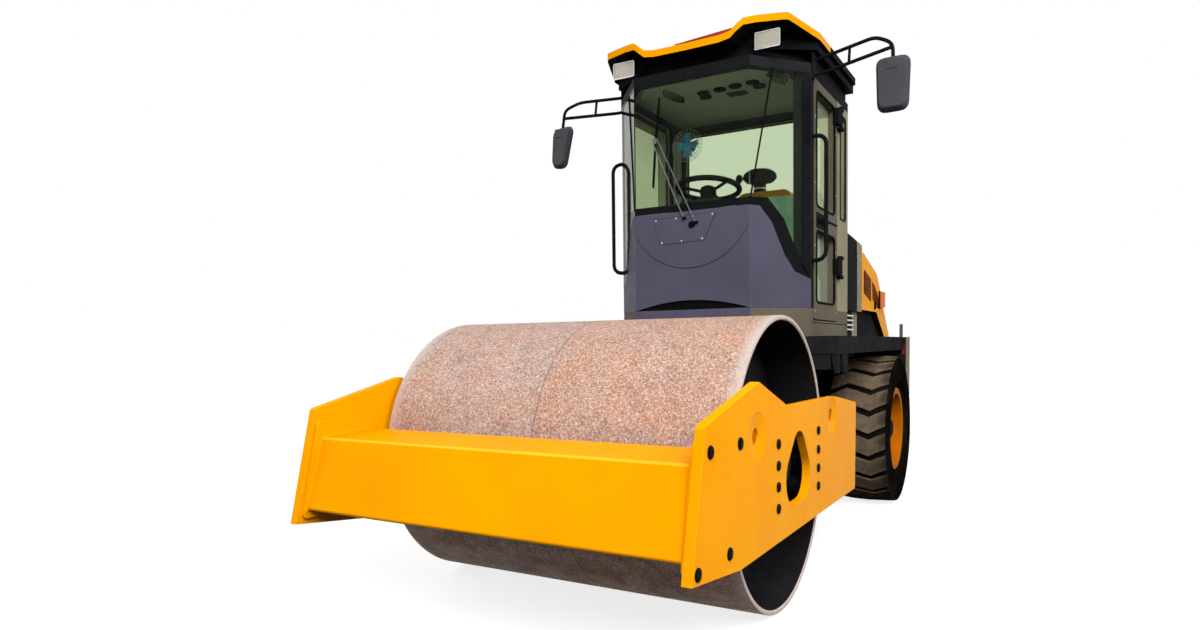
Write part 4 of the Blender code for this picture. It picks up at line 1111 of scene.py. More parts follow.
@dataclass
class Drum(Sided):
    """The rolled shell, its two heads and what is bolted to them."""
    place: Triple = DRUM_AXLE
    radius: float = 0.625
    half: float = 0.84
    wall: float = 0.02
    edge: float = 0.005
    head_x: float = 0.6
    bolt_ring: float = 0.212
    bolt_count: int = 12

    def build(self) -> None:
        """Builds the drum's pieces."""
        self.shell()
        dress("drum_core", BLACK, 0.004)
        self.head_bolts()

    def shell(self) -> None:
        """Rolls the shell, with its ends eased, and leaves its inside dark."""
        half, edge, inner, outer = self.half, self.edge, self.radius - self.wall, self.radius
        profile = ((-half, inner + edge), (-half, outer - edge), (-half + edge * 0.3, outer - edge * 0.3),
                   (-half + edge, outer), (half - edge, outer), (half - edge * 0.3, outer - edge * 0.3),
                   (half, outer - edge), (half, inner + edge), (half - edge, inner),
                   (-half + edge, inner))
        shell = Form.lathe("drum_shell_rolled", profile, self.place, (1, 0, 0), 192)
        shell.done(DRUM, "drum_shell", body="drum")
        shell.also(BLACK, lambda middle, normal: hypot(
            middle.y - self.place[1], middle.z - self.place[2]) < inner + 0.002)

    def head_bolts(self) -> None:
        """Bolts the hub into each head."""
        for self.side in Side:
            seat = (self.side * self.head_x, self.place[1], self.place[2] + self.bolt_ring)
            ring = bolt(self.named("drum_head_bolts"), seat, (self.side, 0, 0), 0.017)
            ring.repeat([turned(360 * k / self.bolt_count + 15, "X", self.place)
                         for k in range(self.bolt_count)])
            ring.done(DULL, body="drum")


@dataclass
class FrontFrame(Sided):
    """The side plates, the beams between them and the drum's rubber mounts."""
    face_x: float = 0.902
    dishes: tuple[Pair, ...] = ((-1.832, 0.796), (-0.744, 0.784))
    plugs: tuple[Pair, ...] = ((-2.277, 0.795), (-2.01, 0.792), (-2.113, 0.437), (-2.381, 0.436))
    rows: tuple[Pair, ...] = (
        (-1.588, 0.742), (-1.588, 0.657), (-1.588, 0.574), (-1.588, 0.489),
        (-1.001, 0.737), (-1.001, 0.651), (-1.001, 0.567), (-1.001, 0.485))
    beam: tuple[Pair, ...] = ((-2.29, 0.755), (-2.036, 0.775), (-2.085, 0.47), (-2.385, 0.457))
    weld_x: float = 0.8528

    def build(self) -> None:
        """Builds the front frame's pieces."""
        for self.side in Side:
            self.side_plate()
            dress(self.named("drum_mount"), BLACK, 0.003)
            self.plate_caps()
            self.beam_welds()
            self.mount_bolts()
        beam = dress("front_beam", YELLOW, 0.005, 3)
        # painted highlight along the beam's rounded top front edge
        beam.also(YELLOW_EDGE_HIGHLIGHT, lambda middle, normal: abs(normal.x) < 0.1 and -0.9 < normal.y < -0.15)
        dress("rear_crossbeam", BLACK, 0.004)

    def side_plate(self) -> None:
        """Dresses the plate with a painted highlight on its rounded edges, and lines its lifting holes with
        soft dishes.
        """
        plate = dress(self.named("side_plate"), YELLOW, 0.006, 3)
        # painted highlight on the plate's rounded edges, away from the lifting dishes
        plate.also(YELLOW_EDGE_HIGHLIGHT, lambda middle, normal: 0.12 < abs(normal.x) < 0.97 and min(
            hypot(middle.y - y, middle.z - z) for y, z in self.dishes) > 0.11)
        soft = ((-0.0005, 0.0893), (-0.004, 0.07), (-0.0066, 0.048), (-0.0078, 0.036), (-0.015, 0.029),
                (-0.015, 0), (-0.018, 0), (-0.018, 0.031), (-0.0079, 0.0325), (-0.0079, 0.089))
        for k, (y, z) in enumerate(self.dishes):
            lining = Form.lathe(self.named("lifting_dish", k), soft, (self.side * self.face_x, y, z),
                                (self.side, 0, 0), 40, closed=False)
            lining.done(YELLOW, body="front_frame")
            # painted shade in the blind bottom of the lifting hole
            lining.also(YELLOW_PAINTED_SHADE,
                        lambda middle, normal, y=y, z=z: hypot(middle.y - y, middle.z - z) < 0.033)

    def plate_caps(self) -> None:
        """Closes the plate's sunk bolts with black caps."""
        large = cap(self.named("plate_plugs"), (self.side * self.face_x, 0, 0), (self.side, 0, 0),
                    0.0225, 0.007)
        large.repeat([shift(y=y, z=z) for y, z in self.plugs])
        large.done(GASKET, body="front_frame")
        small = cap(self.named("plate_bolts"), (self.side * self.face_x, 0, 0),
                    (self.side, 0, 0), 0.02, 0.008)
        small.repeat([shift(y=y, z=z) for y, z in self.rows])
        small.done(SATIN, body="front_frame")

    def beam_welds(self) -> None:
        """Welds the beam to its end flange."""
        line = [(self.side * self.weld_x, y, z) for y, z in self.beam]
        bead(self.named("beam_weld"), line, 0.0045, True).done(YELLOW, body="front_frame")

    def mount_bolts(self) -> None:
        """Bolts the travel motor's flange to the mount plate."""
        seat = (self.side * 0.735, DRUM_AXLE[1], DRUM_AXLE[2] + 0.122)
        ring = bolt(self.named("motor_bolts"), seat, (self.side, 0, 0), 0.011)
        ring.repeat([turned(45 * k, "X", DRUM_AXLE) for k in range(8)])
        ring.done(BRIGHT, body="front_frame")


@dataclass
class Steering(Sided):
    """The joint's pin, and the two rams beside it."""

    def build(self) -> None:
        """Builds the joint's pieces."""
        dress("pivot_pin", DULL, 0.002)
        for self.side in Side:
            dress(self.named("ram_barrel"), BLACK, 0.002)
            dress(self.named("ram_rod"), CHROME, 0.001)
        crown = bolt("pivot_pin_nut", (0, 0, 0.8), (0, 0, 1), 0.03)
        crown.done(BRIGHT)


# Wheels

@dataclass
class Wheel(Sided):
    """The rear wheels: tyre, dished rim, nuts, hub and valve."""
    axle: Pair = REAR_AXLE
    middle: float = 0.68
    nut_ring: float = 0.16
    nuts: int = 8
    slots: int = 8

    @property
    def centre(self) -> Triple:
        """Gives the middle of the rim."""
        return (self.side * self.middle, *self.axle)

    def build(self) -> None:
        """Builds both wheels."""
        for self.side in Side:
            self.tyre()
            # painted shade: the rim's dish is darker, and only its outer ring, facing out, keeps the plain
            # yellow
            rim = dress(self.named("rim"), YELLOW_PAINTED_SHADE, 0.002)
            rim.also(YELLOW, lambda middle, normal: abs(normal.x) > 0.6 and hypot(
                middle.y - self.axle[0], middle.z - self.axle[1]) > 0.235)
            self.wall_rings()
            self.wheel_nuts()
            self.hand_holes()
            self.hub()

    def tyre(self) -> None:
        """Turns the tread over, so that its chevrons point the way they do on the machine."""
        over = Matrix.Translation((0, 0, 2 * self.axle[1])) @ Matrix.Diagonal((1, 1, -1, 1))
        tyre = Form.copy_of(self.named("tyre")).moved(over)
        with tyre.editing(everything=True):
            tyre.face_out()
        tyre.ease(0.004, 2, 25).done(RUBBER, self.named("tyre"), body=self.named("wheel"))

    def wall_rings(self) -> None:
        """Raises the two rings that are moulded in the tyre's outer wall."""
        rings = []
        for k, (radius, reach) in enumerate(((0.338, 0.1888), (0.446, 0.1946))):
            profile = [(self.side * (reach - 0.004), radius - 0.007),
                       (self.side * (reach + 0.001), radius - 0.003),
                       (self.side * (reach + 0.001), radius + 0.003),
                       (self.side * (reach - 0.004), radius + 0.007)]
            rings.append(Form.lathe(self.named("tyre_wall_ring", k), profile, self.centre, (1, 0, 0), 84))
        joined(rings).done(RUBBER, body=self.named("wheel"))

    def wheel_nuts(self) -> None:
        """Puts the nuts and their studs round the hub."""
        seat = (self.centre[0] + self.side * 0.0705, self.centre[1], self.centre[2] + self.nut_ring)
        nut = bolt(self.named("wheel_nuts"), seat, (self.side, 0, 0), 0.015)
        stud = Form.rod("stud", seat, (seat[0] + self.side * 0.02, seat[1], seat[2]), 0.008, 12, 0.006)
        nut.join(stud)
        nut.repeat([turned(360 * k / self.nuts, "X", self.centre) for k in range(self.nuts)])
        nut.done(BRIGHT, body=self.named("wheel"))

    def hand_holes(self) -> None:
        """Marks the openings in the disc between the nuts and the rim with black sheets that paint the shade
        inside them.
        """
        x, y, z = self.centre
        corners = [(x + self.side * 0.064, y + 0.032 * c, z + 0.208 + 0.013 * s) for c, s in circle(16)]
        hole = Form.plate(self.named("rim_holes"), corners, (self.side * 0.005, 0, 0))
        hole.inset(facing(self.out), 0.004, -0.003)
        hole.repeat([turned(360 * (k + 0.5) / self.slots, "X", self.centre) for k in range(self.slots)])
        hole.done(GASKET, body=self.named("wheel"))

    def hub(self) -> None:
        """Caps the hub, and puts the valve on the rim."""
        profile = ((self.side * 0.129, 0), (self.side * 0.129, 0.062), (self.side * 0.139, 0.058),
                   (self.side * 0.143, 0.05), (self.side * 0.143, 0.03), (self.side * 0.147, 0.026),
                   (self.side * 0.147, 0))
        Form.lathe(self.named("hub_cap"), profile, self.centre, (1, 0, 0), 36,
                   closed=False).done(BLACK, body=self.named("wheel"))
        base = (self.centre[0] + self.side * 0.092, self.centre[1], self.centre[2] + 0.226)
        tip = (self.centre[0] + self.side * 0.128, self.centre[1], self.centre[2] + 0.212)
        Form.tube(self.named("valve"), [base, tip], 0.0045, 10).done(BRIGHT, body=self.named("wheel"))


# Roof, lamps and mirrors

@dataclass
class Roof:
    """The roof cap over its black tray, with the ceiling's outlets underneath."""
    ceiling: float = 2.688
    outlets: tuple[Pair, ...] = ((-0.072, 0.036), (-0.092, 0.118), (0.039, 0.029), (0.14, 0.018),
                                 (0.25, 0.01), (0.262, 0.098))
    grilles: tuple[Pair, ...] = ((0.345, 1), (-0.205, -1))      # x where the slots start, and their way

    def build(self) -> None:
        """Builds the roof's pieces."""
        roof = Form.copy_of("roof").cut((0, 0.2, 0), (0, 1, 0)).ease(0.008, 3)
        roof.done(ROOF_YELLOW, "roof")
        roof.also(SATIN, lambda middle, normal: normal.z < -0.35 or middle.y > 0.199 and abs(normal.x) > 0.7)
        liner = dress("roof_liner", SATIN, 0.003)
        liner.also(CONSOLE, lambda middle, normal: middle.z < 2.7155 and abs(middle.x) < 0.47)
        self.hatch()
        self.round_outlets()
        self.vents()
        self.display()

    def hatch(self) -> None:
        """Sets the hatch on the roof's flat middle, painted red-brown as the roof's yellow in shade."""
        outline = ((-0.115, 2.835), (0.2, 2.837), (0.265, 2.848), (0.3, 2.878), (0.3, 2.906), (-0.115, 2.882))
        lid = Form.plate("roof_hatch", [(x, -0.3, z) for x, z in outline], (0, 0.56, 0))
        lid.inset(facing(Way.UP, 0.99), 0.03, 0.006)
        lid.ease(0.004, 3).done(HATCH_PAINTED_SHADE)

    def round_outlets(self) -> None:
        """Fits the round air outlets in the ceiling."""
        ring = ((0.001, 0), (0.001, 0.038), (-0.006, 0.04), (-0.01, 0.037), (-0.01, 0.031),
                (-0.004, 0.029), (-0.004, 0))
        outlet = Form.lathe("ceiling_outlets", ring, (0, 0, self.ceiling), (0, 0, 1), 28, closed=False)
        blade = Form.box("outlet_blade", (-0.028, -0.0015, self.ceiling - 0.008),
                         (0.028, 0.0015, self.ceiling - 0.003)).ease(0.0008, 1)
        blade.repeat([shift(y=0.011 * k) for k in (-1, 0, 1)])
        outlet.join(blade)
        outlet.repeat([shift(x=x, y=y) for x, y in self.outlets])
        outlet.done(GASKET)

    def vents(self) -> None:
        """Draws the curved slots of the two grilles."""
        slots = []
        for start, way in self.grilles:
            for k in range(6):
                reach = 0.02 + 0.016 * k
                arc = [(start + way * reach * cos(radians(a)), 0.01 + 1.3 * (reach + 0.03) * sin(radians(a)),
                        self.ceiling - 0.001) for a in range(-60, 61, 15)]
                slots.append(Form.tube("ceiling_slots_%d" % len(slots), arc, 0.0034, 8))
        joined(slots).done(GASKET)

    def display(self) -> None:
        """Fits the small control panel behind the outlets."""
        panel = Form.box("ceiling_controls", (0.04, 0.128, self.ceiling - 0.006),
                         (0.16, 0.205, self.ceiling + 0.001))
        panel.inset(facing(Way.DOWN), 0.008, -0.002)
        panel.ease(0.001, 1).done(TRIM)


@dataclass
class WorkLamp(Sided):
    """The work lamps under the roof's front corners: case, cells painted bright, rim and bracket."""
    middle: float = 0.4445
    half: float = 0.0725
    front: float = -0.31
    back: float = -0.255
    low: float = 2.745
    high: float = 2.842
    cups: int = 6

    @property
    def ends(self) -> Pair:
        """Gives the lamp's lower and higher x."""
        return tuple(sorted((self.side * (self.middle - self.half), self.side * (self.middle + self.half))))

    def build(self) -> None:
        """Builds both lamps."""
        for self.side in Side:
            near, far = self.ends
            case = Form.box(self.named("lamp_case"), (near, self.front + 0.004, self.low),
                            (far, self.back, self.high))
            case.shrink(facing(Way.BACK), (0.62, 1, 0.62),
                        (self.side * self.middle, self.back, (self.low + self.high) / 2))
            case.ease(0.008, 3)
            case.done(SATIN, self.named("work_lamp"))
            self.cells()
            self.rim()
            stalk = Form.box(self.named("lamp_bracket"),
                             (self.side * self.middle - 0.017, -0.295, self.high - 0.008),
                             (self.side * self.middle + 0.017, -0.27, 2.8725))
            stalk.ease(0.003, 2).done(SATIN)

    def cells(self) -> None:
        """Presses the reflector into square cups, whose pale matte colour is a painted reflection."""
        near, far = self.ends
        face = Form.box(self.named("lamp_cells"), (near + 0.006, self.front + 0.001, self.low + 0.006),
                        (far - 0.006, self.front + 0.007, self.high - 0.006))
        with face.editing():
            face.pick_faces(lambda middle, normal: True)
            bpy.ops.mesh.subdivide(number_cuts=self.cups - 1)
        face.inset(facing(Way.FRONT), 0.0018, -0.0015, apart=True)
        face.done(REFLECTOR_PAINTED_GLINT)

    def rim(self) -> None:
        """Runs the rim round the lamp's front."""
        (near, far), level, inside = self.ends, self.front, 0.003
        line = [(near + inside, level, self.low + inside), (far - inside, level, self.low + inside),
                (far - inside, level, self.high - inside), (near + inside, level, self.high - inside)]
        Form.tube(self.named("lamp_rim"), line, 0.0036, 8, 0.008, closed=True).done(CHROME)


@dataclass
class Mirror(Sided):
    """A mirror: bent arms with their brace, a foot on the cab and a rounded head."""
    side: Side
    lower: tuple[Triple, ...]
    upper: tuple[Triple, ...]
    brace: tuple[Triple, ...]
    outline: tuple[Pair, ...]       # x and z of the head's corners, from the inner low one round
    back: float = -0.037
    front: float = -0.0985

    def build(self) -> None:
        """Builds the mirror."""
        arms = [Form.tube(self.named("mirror_arms"), mirrored(self.upper, self.side), 0.01, 14, 0.04),
                Form.tube("arm_lower", mirrored(self.lower, self.side), 0.01, 14, 0.03),
                Form.tube("arm_brace", mirrored(self.brace, self.side), 0.008, 12)]
        joined(arms).done(SATIN)
        foot = Form.box(self.named("mirror_foot"), (self.side * 0.6103, -0.028, 2.632),
                        (self.side * 0.619, 0.07, 2.779))
        foot.shrink(facing(Way.DOWN), (1, 0.46, 1), (0, -0.028, 0))
        foot.ease(0.003, 2).done(SATIN)
        self.head()

    def head(self) -> None:
        """Builds the rounded case, the glass in its back and the clamp's cover on its front."""
        middle = (self.side * sum(x for x, z in self.outline) / 4, 0, sum(z for x, z in self.outline) / 4)

        def loop(bend: float, level: float) -> list[Vector]:
            """Gives the rounded outline at a depth."""
            return eased([(self.side * x, level, z) for x, z in self.outline], bend, True)
        case = Form.plate(self.named("mirror_head"), loop(0.046, self.back),
                          (0, (self.front - self.back) * 0.55, 0))
        case.extrude(facing(Way.FRONT), (0, (self.front - self.back) * 0.45, 0))
        case.shrink(facing(Way.FRONT), (0.84, 1, 0.88), middle)
        case.ease(0.007, 4, 25)
        case.done(SHELL, self.named("mirror"))
        pane = Form.plate(self.named("mirror_glass"), loop(0.046, self.back - 0.001), (0, 0.003, 0))
        pane.moved(Matrix.Translation(middle) @ Matrix.Diagonal((0.9, 1, 0.93, 1))
                   @ Matrix.Translation(middle).inverted())
        pane.ease(0.001, 1).done(MIRROR)
        x, z = middle[0], max(z for x, z in self.outline)
        cover = Form.box(self.named("mirror_clamp"), (x - 0.03, self.front - 0.004, z - 0.072),
                         (x + 0.03, self.front + 0.02, z - 0.016))
        cover.ease(0.004, 3).done(SHELL)


MIRRORS = (
    Mirror(Side.LEFT, ((0.612, -0.005, 2.655), (0.66, -0.005, 2.655), (1.05, -0.0485, 2.712)),
           ((0.612, 0.045, 2.752), (0.955, -0.03, 2.788), (1.048, -0.045, 2.735), (1.055, -0.06, 2.63)),
           ((0.815, -0.022, 2.678), (0.815, 0.0, 2.773)),
           ((0.974, 2.366), (1.132, 2.368), (1.142, 2.654), (0.966, 2.654))),
    Mirror(Side.RIGHT, ((0.612, -0.005, 2.645), (0.66, -0.005, 2.645), (1.045, -0.0505, 2.66)),
           ((0.612, 0.045, 2.752), (0.93, -0.03, 2.752), (1.04, -0.045, 2.715), (1.05, -0.06, 2.575)),
           ((0.815, -0.022, 2.651), (0.815, -0.003, 2.752)),
           ((1.03, 2.326), (1.128, 2.334), (1.11, 2.59), (0.966, 2.598))),
)


# Rear frame, engine, tank, hood and tail

@dataclass
class Chassis(Sided):
    """The rails, the axle, and the platform with its step plates and brackets."""
    deck: float = 1.165
    step_x: Pair = (0.622, 0.8)
    step_y: Pair = (-0.238, 1.85)
    bar: float = 0.03
    pitch: float = 0.0435
    brackets: tuple[Pair, ...] = ((-0.245, -0.18), (-0.126, 0.019))

    def build(self) -> None:
        """Builds the chassis pieces."""
        dress("rear_frame", BLACK, 0.003)
        dress("rear_axle", BLACK, 0.003)
        dress("exhaust_pipe", DULL, 0.001)
        platform = dress("platform", BLACK, 0.002)
        # painted shade on the tail panels: the darker copy of the beige-grey
        platform.also(GREY_PAINTED_SHADE, lambda middle, normal: middle.y > 1.861 and middle.z < 1.3
                      and abs(middle.x) > 0.43)
        for self.side in Side:
            self.step_plate()
            self.step_brackets()
            self.axle_bolts()
            self.cab_mount()
            self.reflector()
            flange = Form.box(self.named("tail_flange"), (self.side * 0.827, 1.856, 0.724),
                              (self.side * 0.851, 1.8595, 1.166))
            flange.inset(facing(Way.FRONT), 0.003, 0.0005)
            flange.done(PILLAR_GREY)

    def step_plate(self) -> None:
        """Lays the raised-bar step plate along one side of the platform."""
        x_low, x_high = self.step_x
        y_low, y_high = self.step_y
        sheet = Form.box(self.named("step_plate"), (self.side * x_low, y_low, self.deck),
                         (self.side * x_high, y_high, self.deck + 0.003)).ease(0.001, 1)
        half = self.bar / 2
        lens = [(half * c, 0.0045 * s, self.deck + 0.0028) for c, s in circle(10)]
        bar = Form.plate("tread_bar", lens, (0, 0, 0.0018))
        bar.shrink(facing(Way.UP), (0.82, 0.55, 1), (0, 0, self.deck))
        across = int((x_high - x_low) / self.pitch)
        along = int((y_high - y_low) / self.pitch)
        moves = []
        for row in range(along):
            for column in range(across):
                lean = 45 if (row + column) % 2 else -45
                moves.append(shift(self.side * (x_low + self.pitch * (column + 0.6)),
                                   y_low + self.pitch * (row + 0.6))
                             @ Matrix.Rotation(radians(lean), 4, "Z"))
        bar.repeat(moves)
        sheet.join(bar).done(BLACK)

    def step_brackets(self) -> None:
        """Hangs the folded brackets under the platform's front."""
        pieces = []
        for k, (near, far) in enumerate(self.brackets):
            piece = Form.box(self.named("step_brackets", k), (self.side * 0.774, near, 0.964),
                             (self.side * 0.8085, far, 1.0705))
            piece.shrink(facing(Way.DOWN), (0.62, 0.72, 1), (self.side * 0.8085, far, 0))
            piece.inset(facing(self.out), 0.012, -0.004)
            pieces.append(piece.ease(0.003, 2))
        joined(pieces).done(BLACK)
        box = Form.box(self.named("platform_box"), (self.side * 0.61, -0.246, 0.985),
                       (self.side * 0.77, -0.08, 1.0705))
        box.inset(facing(Way.FRONT), 0.01, -0.003)
        box.ease(0.004, 2).done(BLACK)

    def axle_bolts(self) -> None:
        """Bolts the axle's pads up to the rails."""
        nut = bolt(self.named("axle_bolts"), (self.side * 0.36, 1.31, 0.62), (0, 0, -1), 0.012)
        nut.repeat([shift(self.side * x, y, -0.001) for x in (-0.022, 0.022) for y in (-0.066, 0.066)])
        nut.done(BRIGHT)

    def cab_mount(self) -> None:
        """Puts the rubber mounts between the rails and the platform's edge."""
        ring = ((0, 0), (0, 0.04), (0.01, 0.046), (0.02, 0.036), (0.03, 0.046), (0.0405, 0.04), (0.0405, 0))
        mount = Form.lathe(self.named("cab_mounts"), ring, (self.side * 0.45, 0, 1.114), (0, 0, 1),
                           24, closed=False)
        mount.repeat([shift(y=y) for y in (-0.1, 0.76)])
        mount.done(GASKET)

    def reflector(self) -> None:
        """Fixes the red reflector to the tail panel's front."""
        plate = Form.box(self.named("tail_reflector"), (self.side * 0.798, 1.8545, 1.037),
                         (self.side * 0.822, 1.8618, 1.107))
        plate.inset(facing(Way.FRONT), 0.003, -0.0012)
        plate.ease(0.0015, 2).done(RED)


@dataclass
class Engine:
    """The engine under the hood: casting, cover, pulleys, belt, manifolds and filters."""
    half: float = 0.29
    front: float = 1.43
    back: float = 1.96
    low: float = 0.7203

    def build(self) -> None:
        """Builds the engine's pieces."""
        self.casting()
        self.cover()
        self.drive()
        self.plumbing()

    def casting(self) -> None:
        """Casts the block from the sump up, stepped in at its joints."""
        block = Form.box("engine_casting", (-self.half, self.front, self.low), (self.half, self.back, 0.86))
        block.inset(facing(Way.UP), 0.03)
        block.extrude(lambda middle, normal: normal.z > 0.9 and abs(middle.x) < 0.2, (0, 0, 0.3))
        block.inset(lambda middle, normal: normal.z > 0.9 and middle.z > 1.1, 0.022)
        block.extrude(lambda middle, normal: normal.z > 0.9 and middle.z > 1.1, (0, 0, 0.14))
        block.inset(lambda middle, normal: abs(normal.x) > 0.9 and middle.z > 0.9, 0.03, -0.012, apart=True)
        block.inset(lambda middle, normal: abs(normal.y) > 0.9 and middle.z > 0.9, 0.03, -0.01, apart=True)
        block.ease(0.006, 2)
        block.done(BLACK, "engine_block")

    def cover(self) -> None:
        """Tops the head with its ribbed cover and filler cap."""
        cover = Form.box("engine_cover", (-0.15, 1.5, 1.2995), (0.15, 1.9, 1.372))
        cover.shrink(facing(Way.UP), (0.82, 0.94, 1), (0, 1.7, 1.372))
        rib = Form.box("cover_rib", (-0.12, 1.53, 1.368), (0.12, 1.538, 1.379)).ease(0.002, 2)
        rib.repeat([shift(y=0.0315 * k) for k in range(11)])
        filler = cap("filler", (0.075, 1.88, 1.37), (0, 0, 1), 0.026, 0.022)
        cover.ease(0.012, 3).join(rib, filler).done(DULL)

    def drive(self) -> None:
        """Puts the pulleys and the belt on the engine's front."""
        wheels = []
        for k, (x, z, radius) in enumerate(((0, 0.88, 0.075), (0, 1.13, 0.055), (0.17, 1.05, 0.036))):
            groove = ((-0.012, 0), (-0.012, radius), (-0.004, radius * 0.86), (0.004, radius * 0.86),
                      (0.012, radius), (0.012, 0))
            wheels.append(Form.lathe("engine_pulleys_%d" % k, groove, (x, 1.412, z), (0, 1, 0), 28,
                                     closed=False))
        joined(wheels).done(DULL)
        belt = Form.tube("engine_belt", [(-0.062, 1.412, 0.86), (-0.05, 1.412, 1.15), (0.01, 1.412, 1.185),
                                         (0.205, 1.412, 1.068), (0.06, 1.412, 0.84)], 0.006, 8,
                         0.03, closed=True)
        belt.done(GASKET)

    def plumbing(self) -> None:
        """Runs the manifolds and the filters along the engine's sides."""
        runs = []
        for k in range(4):
            y = 1.53 + 0.105 * k
            runs.append(Form.tube("exhaust_manifold_%d" % k, [(-0.15, y, 1.245), (-0.215, y, 1.245),
                                                              (-0.215, y, 1.19)], 0.017, 12, 0.03))
        log = Form.rod("manifold_log", (-0.215, 1.505, 1.185), (-0.215, 1.87, 1.185), 0.026,
                       20).ease(0.008, 2)
        down = Form.tube("manifold_down", [(-0.215, 1.75, 1.185), (-0.245, 1.75, 1.1), (-0.245, 1.75, 0.88),
                                           (-0.2, 1.75, 0.7215)], 0.03, 16, 0.05)
        joined([*runs, log, down]).done(DULL)
        can = ((0, 0), (0, 0.03), (0.012, 0.044), (0.12, 0.044), (0.13, 0.038), (0.13, 0))
        filters = Form.lathe("engine_filters", can, (0.242, 1.56, 0.9), (0, 0, 1), 24, closed=False)
        filters.repeat([Matrix.Identity(4), shift(y=0.11)])
        # the darker painted-shade copy of the beige-grey
        filters.done(GREY_PAINTED_SHADE)
        pipe = Form.tube("intake_manifold", [(0.15, 1.87, 1.25), (0.225, 1.87, 1.25), (0.225, 1.53, 1.25),
                                             (0.15, 1.53, 1.25)], 0.026, 16, 0.05)
        pipe.done(BLACK)


@dataclass
class Tank(Sided):
    """The tank housing behind the cab, its louvre, its caps and the intake on top."""
    half: float = 0.61
    step: float = 0.575
    split: float = 1.16
    louvre: tuple[float, ...] = (1.318, 1.286, 1.254, 1.222)

    def build(self) -> None:
        """Builds the tank's pieces."""
        tank = Form.copy_of("tank_housing")
        tank.nudge(lambda point: abs(point.x) > 0.585 and point.z > 1.7 and point.y < 1.0, (0, 0, 0.095))
        tank.nudge(lambda point: abs(point.x) > 0.585 and point.z > 1.7 and point.y > 1.3, (0, 0, 0.06))
        tank.cut((0, self.split, 0), (0, 1, 0)).ease(0.006, 3)
        tank.done(PILLAR_GREY, "tank_housing")
        tank.also(SATIN, lambda middle, normal: middle.y < self.split)
        for self.side in Side:
            self.louvres()
            self.seam()
        self.filler()
        self.intake()

    def louvres(self) -> None:
        """Fits the pale louvre bars low on the housing's side."""
        bars = []
        for k, z in enumerate(self.louvre):
            bar = Form.box(self.named("tank_louvre", k), (self.side * self.step, 0.888, z - 0.008),
                           (self.side * (self.half - 0.003), 1.075, z + 0.006))
            bar.shrink(facing(self.out), (1, 0.98, 0.6), (0, 0.99, z - 0.006))
            bars.append(bar.ease(0.0015, 2))
        joined(bars).done(PALE)

    def seam(self) -> None:
        """Marks the joint between the housing's two panels, and its bolts."""
        line = Form.box(self.named("tank_seam"), (self.side * (self.half - 0.003), self.split - 0.003, 1.365),
                        (self.side * (self.half + 0.0008), self.split + 0.003, 1.76)).ease(0.0008, 1)
        line.done(GASKET)
        head = bolt(self.named("tank_bolts"), (self.side * self.half, 1.205, 0), (self.side, 0, 0), 0.007)
        head.repeat([shift(z=z) for z in (1.4, 1.56, 1.72)] + [shift(y=0.085, z=z) for z in (1.4, 1.72)])
        head.done(BRIGHT)

    def filler(self) -> None:
        """Puts the fuel filler and a lifting eye on the housing's top."""
        neck = ((0, 0), (0, 0.046), (0.012, 0.046), (0.014, 0.058), (0.04, 0.056), (0.046, 0.048), (0.046, 0))
        filler = Form.lathe("fuel_filler", neck, (0.36, 1.08, 1.8695), (0, 0, 1), 32, closed=False)
        grip = Form.box("grip", (0.314, 1.073, 1.912), (0.406, 1.087, 1.926)).ease(0.005, 3)
        filler.join(grip).done(GASKET)
        eye = Form.lathe("tank_eye", [(0.008 * c, 0.03 + 0.008 * s) for c, s in circle(12)],
                         (-0.4, 1.08, 1.898), (0, 1, 0), 24)
        eye.done(BRIGHT)

    def intake(self) -> None:
        """Builds the intake's hump and its black pre-cleaner."""
        hump = Form.copy_of("air_cleaner").ease(0.01, 3, 35)
        hump.done(YELLOW, "air_cleaner")
        hump.also(SATIN, lambda middle, normal: middle.z > 2.2285)
        slots = Form.box("precleaner_fins", (-0.082, 1.12 - 0.106, 2.33), (-0.078, 1.12 - 0.088, 2.348))
        slots.ease(0.001, 1)
        slots.repeat([turned(360 * k / 28, "Z", (-0.08, 1.12, 0)) for k in range(28)])
        slots.done(GASKET)
        band = ((2.268, 0.0445), (2.268, 0.0485), (2.28, 0.0485), (2.28, 0.0445))
        Form.lathe("precleaner_clamp", band, (-0.08, 1.12, 0), (0, 0, 1), 36).done(BRIGHT)
        grille = Form.box("hump_grille", (-0.14, 0.957, 1.93), (0.14, 0.9605, 1.938)).ease(0.0015, 1)
        grille.repeat([shift(z=0.02 * k) for k in range(12)])
        grille.done(GASKET)


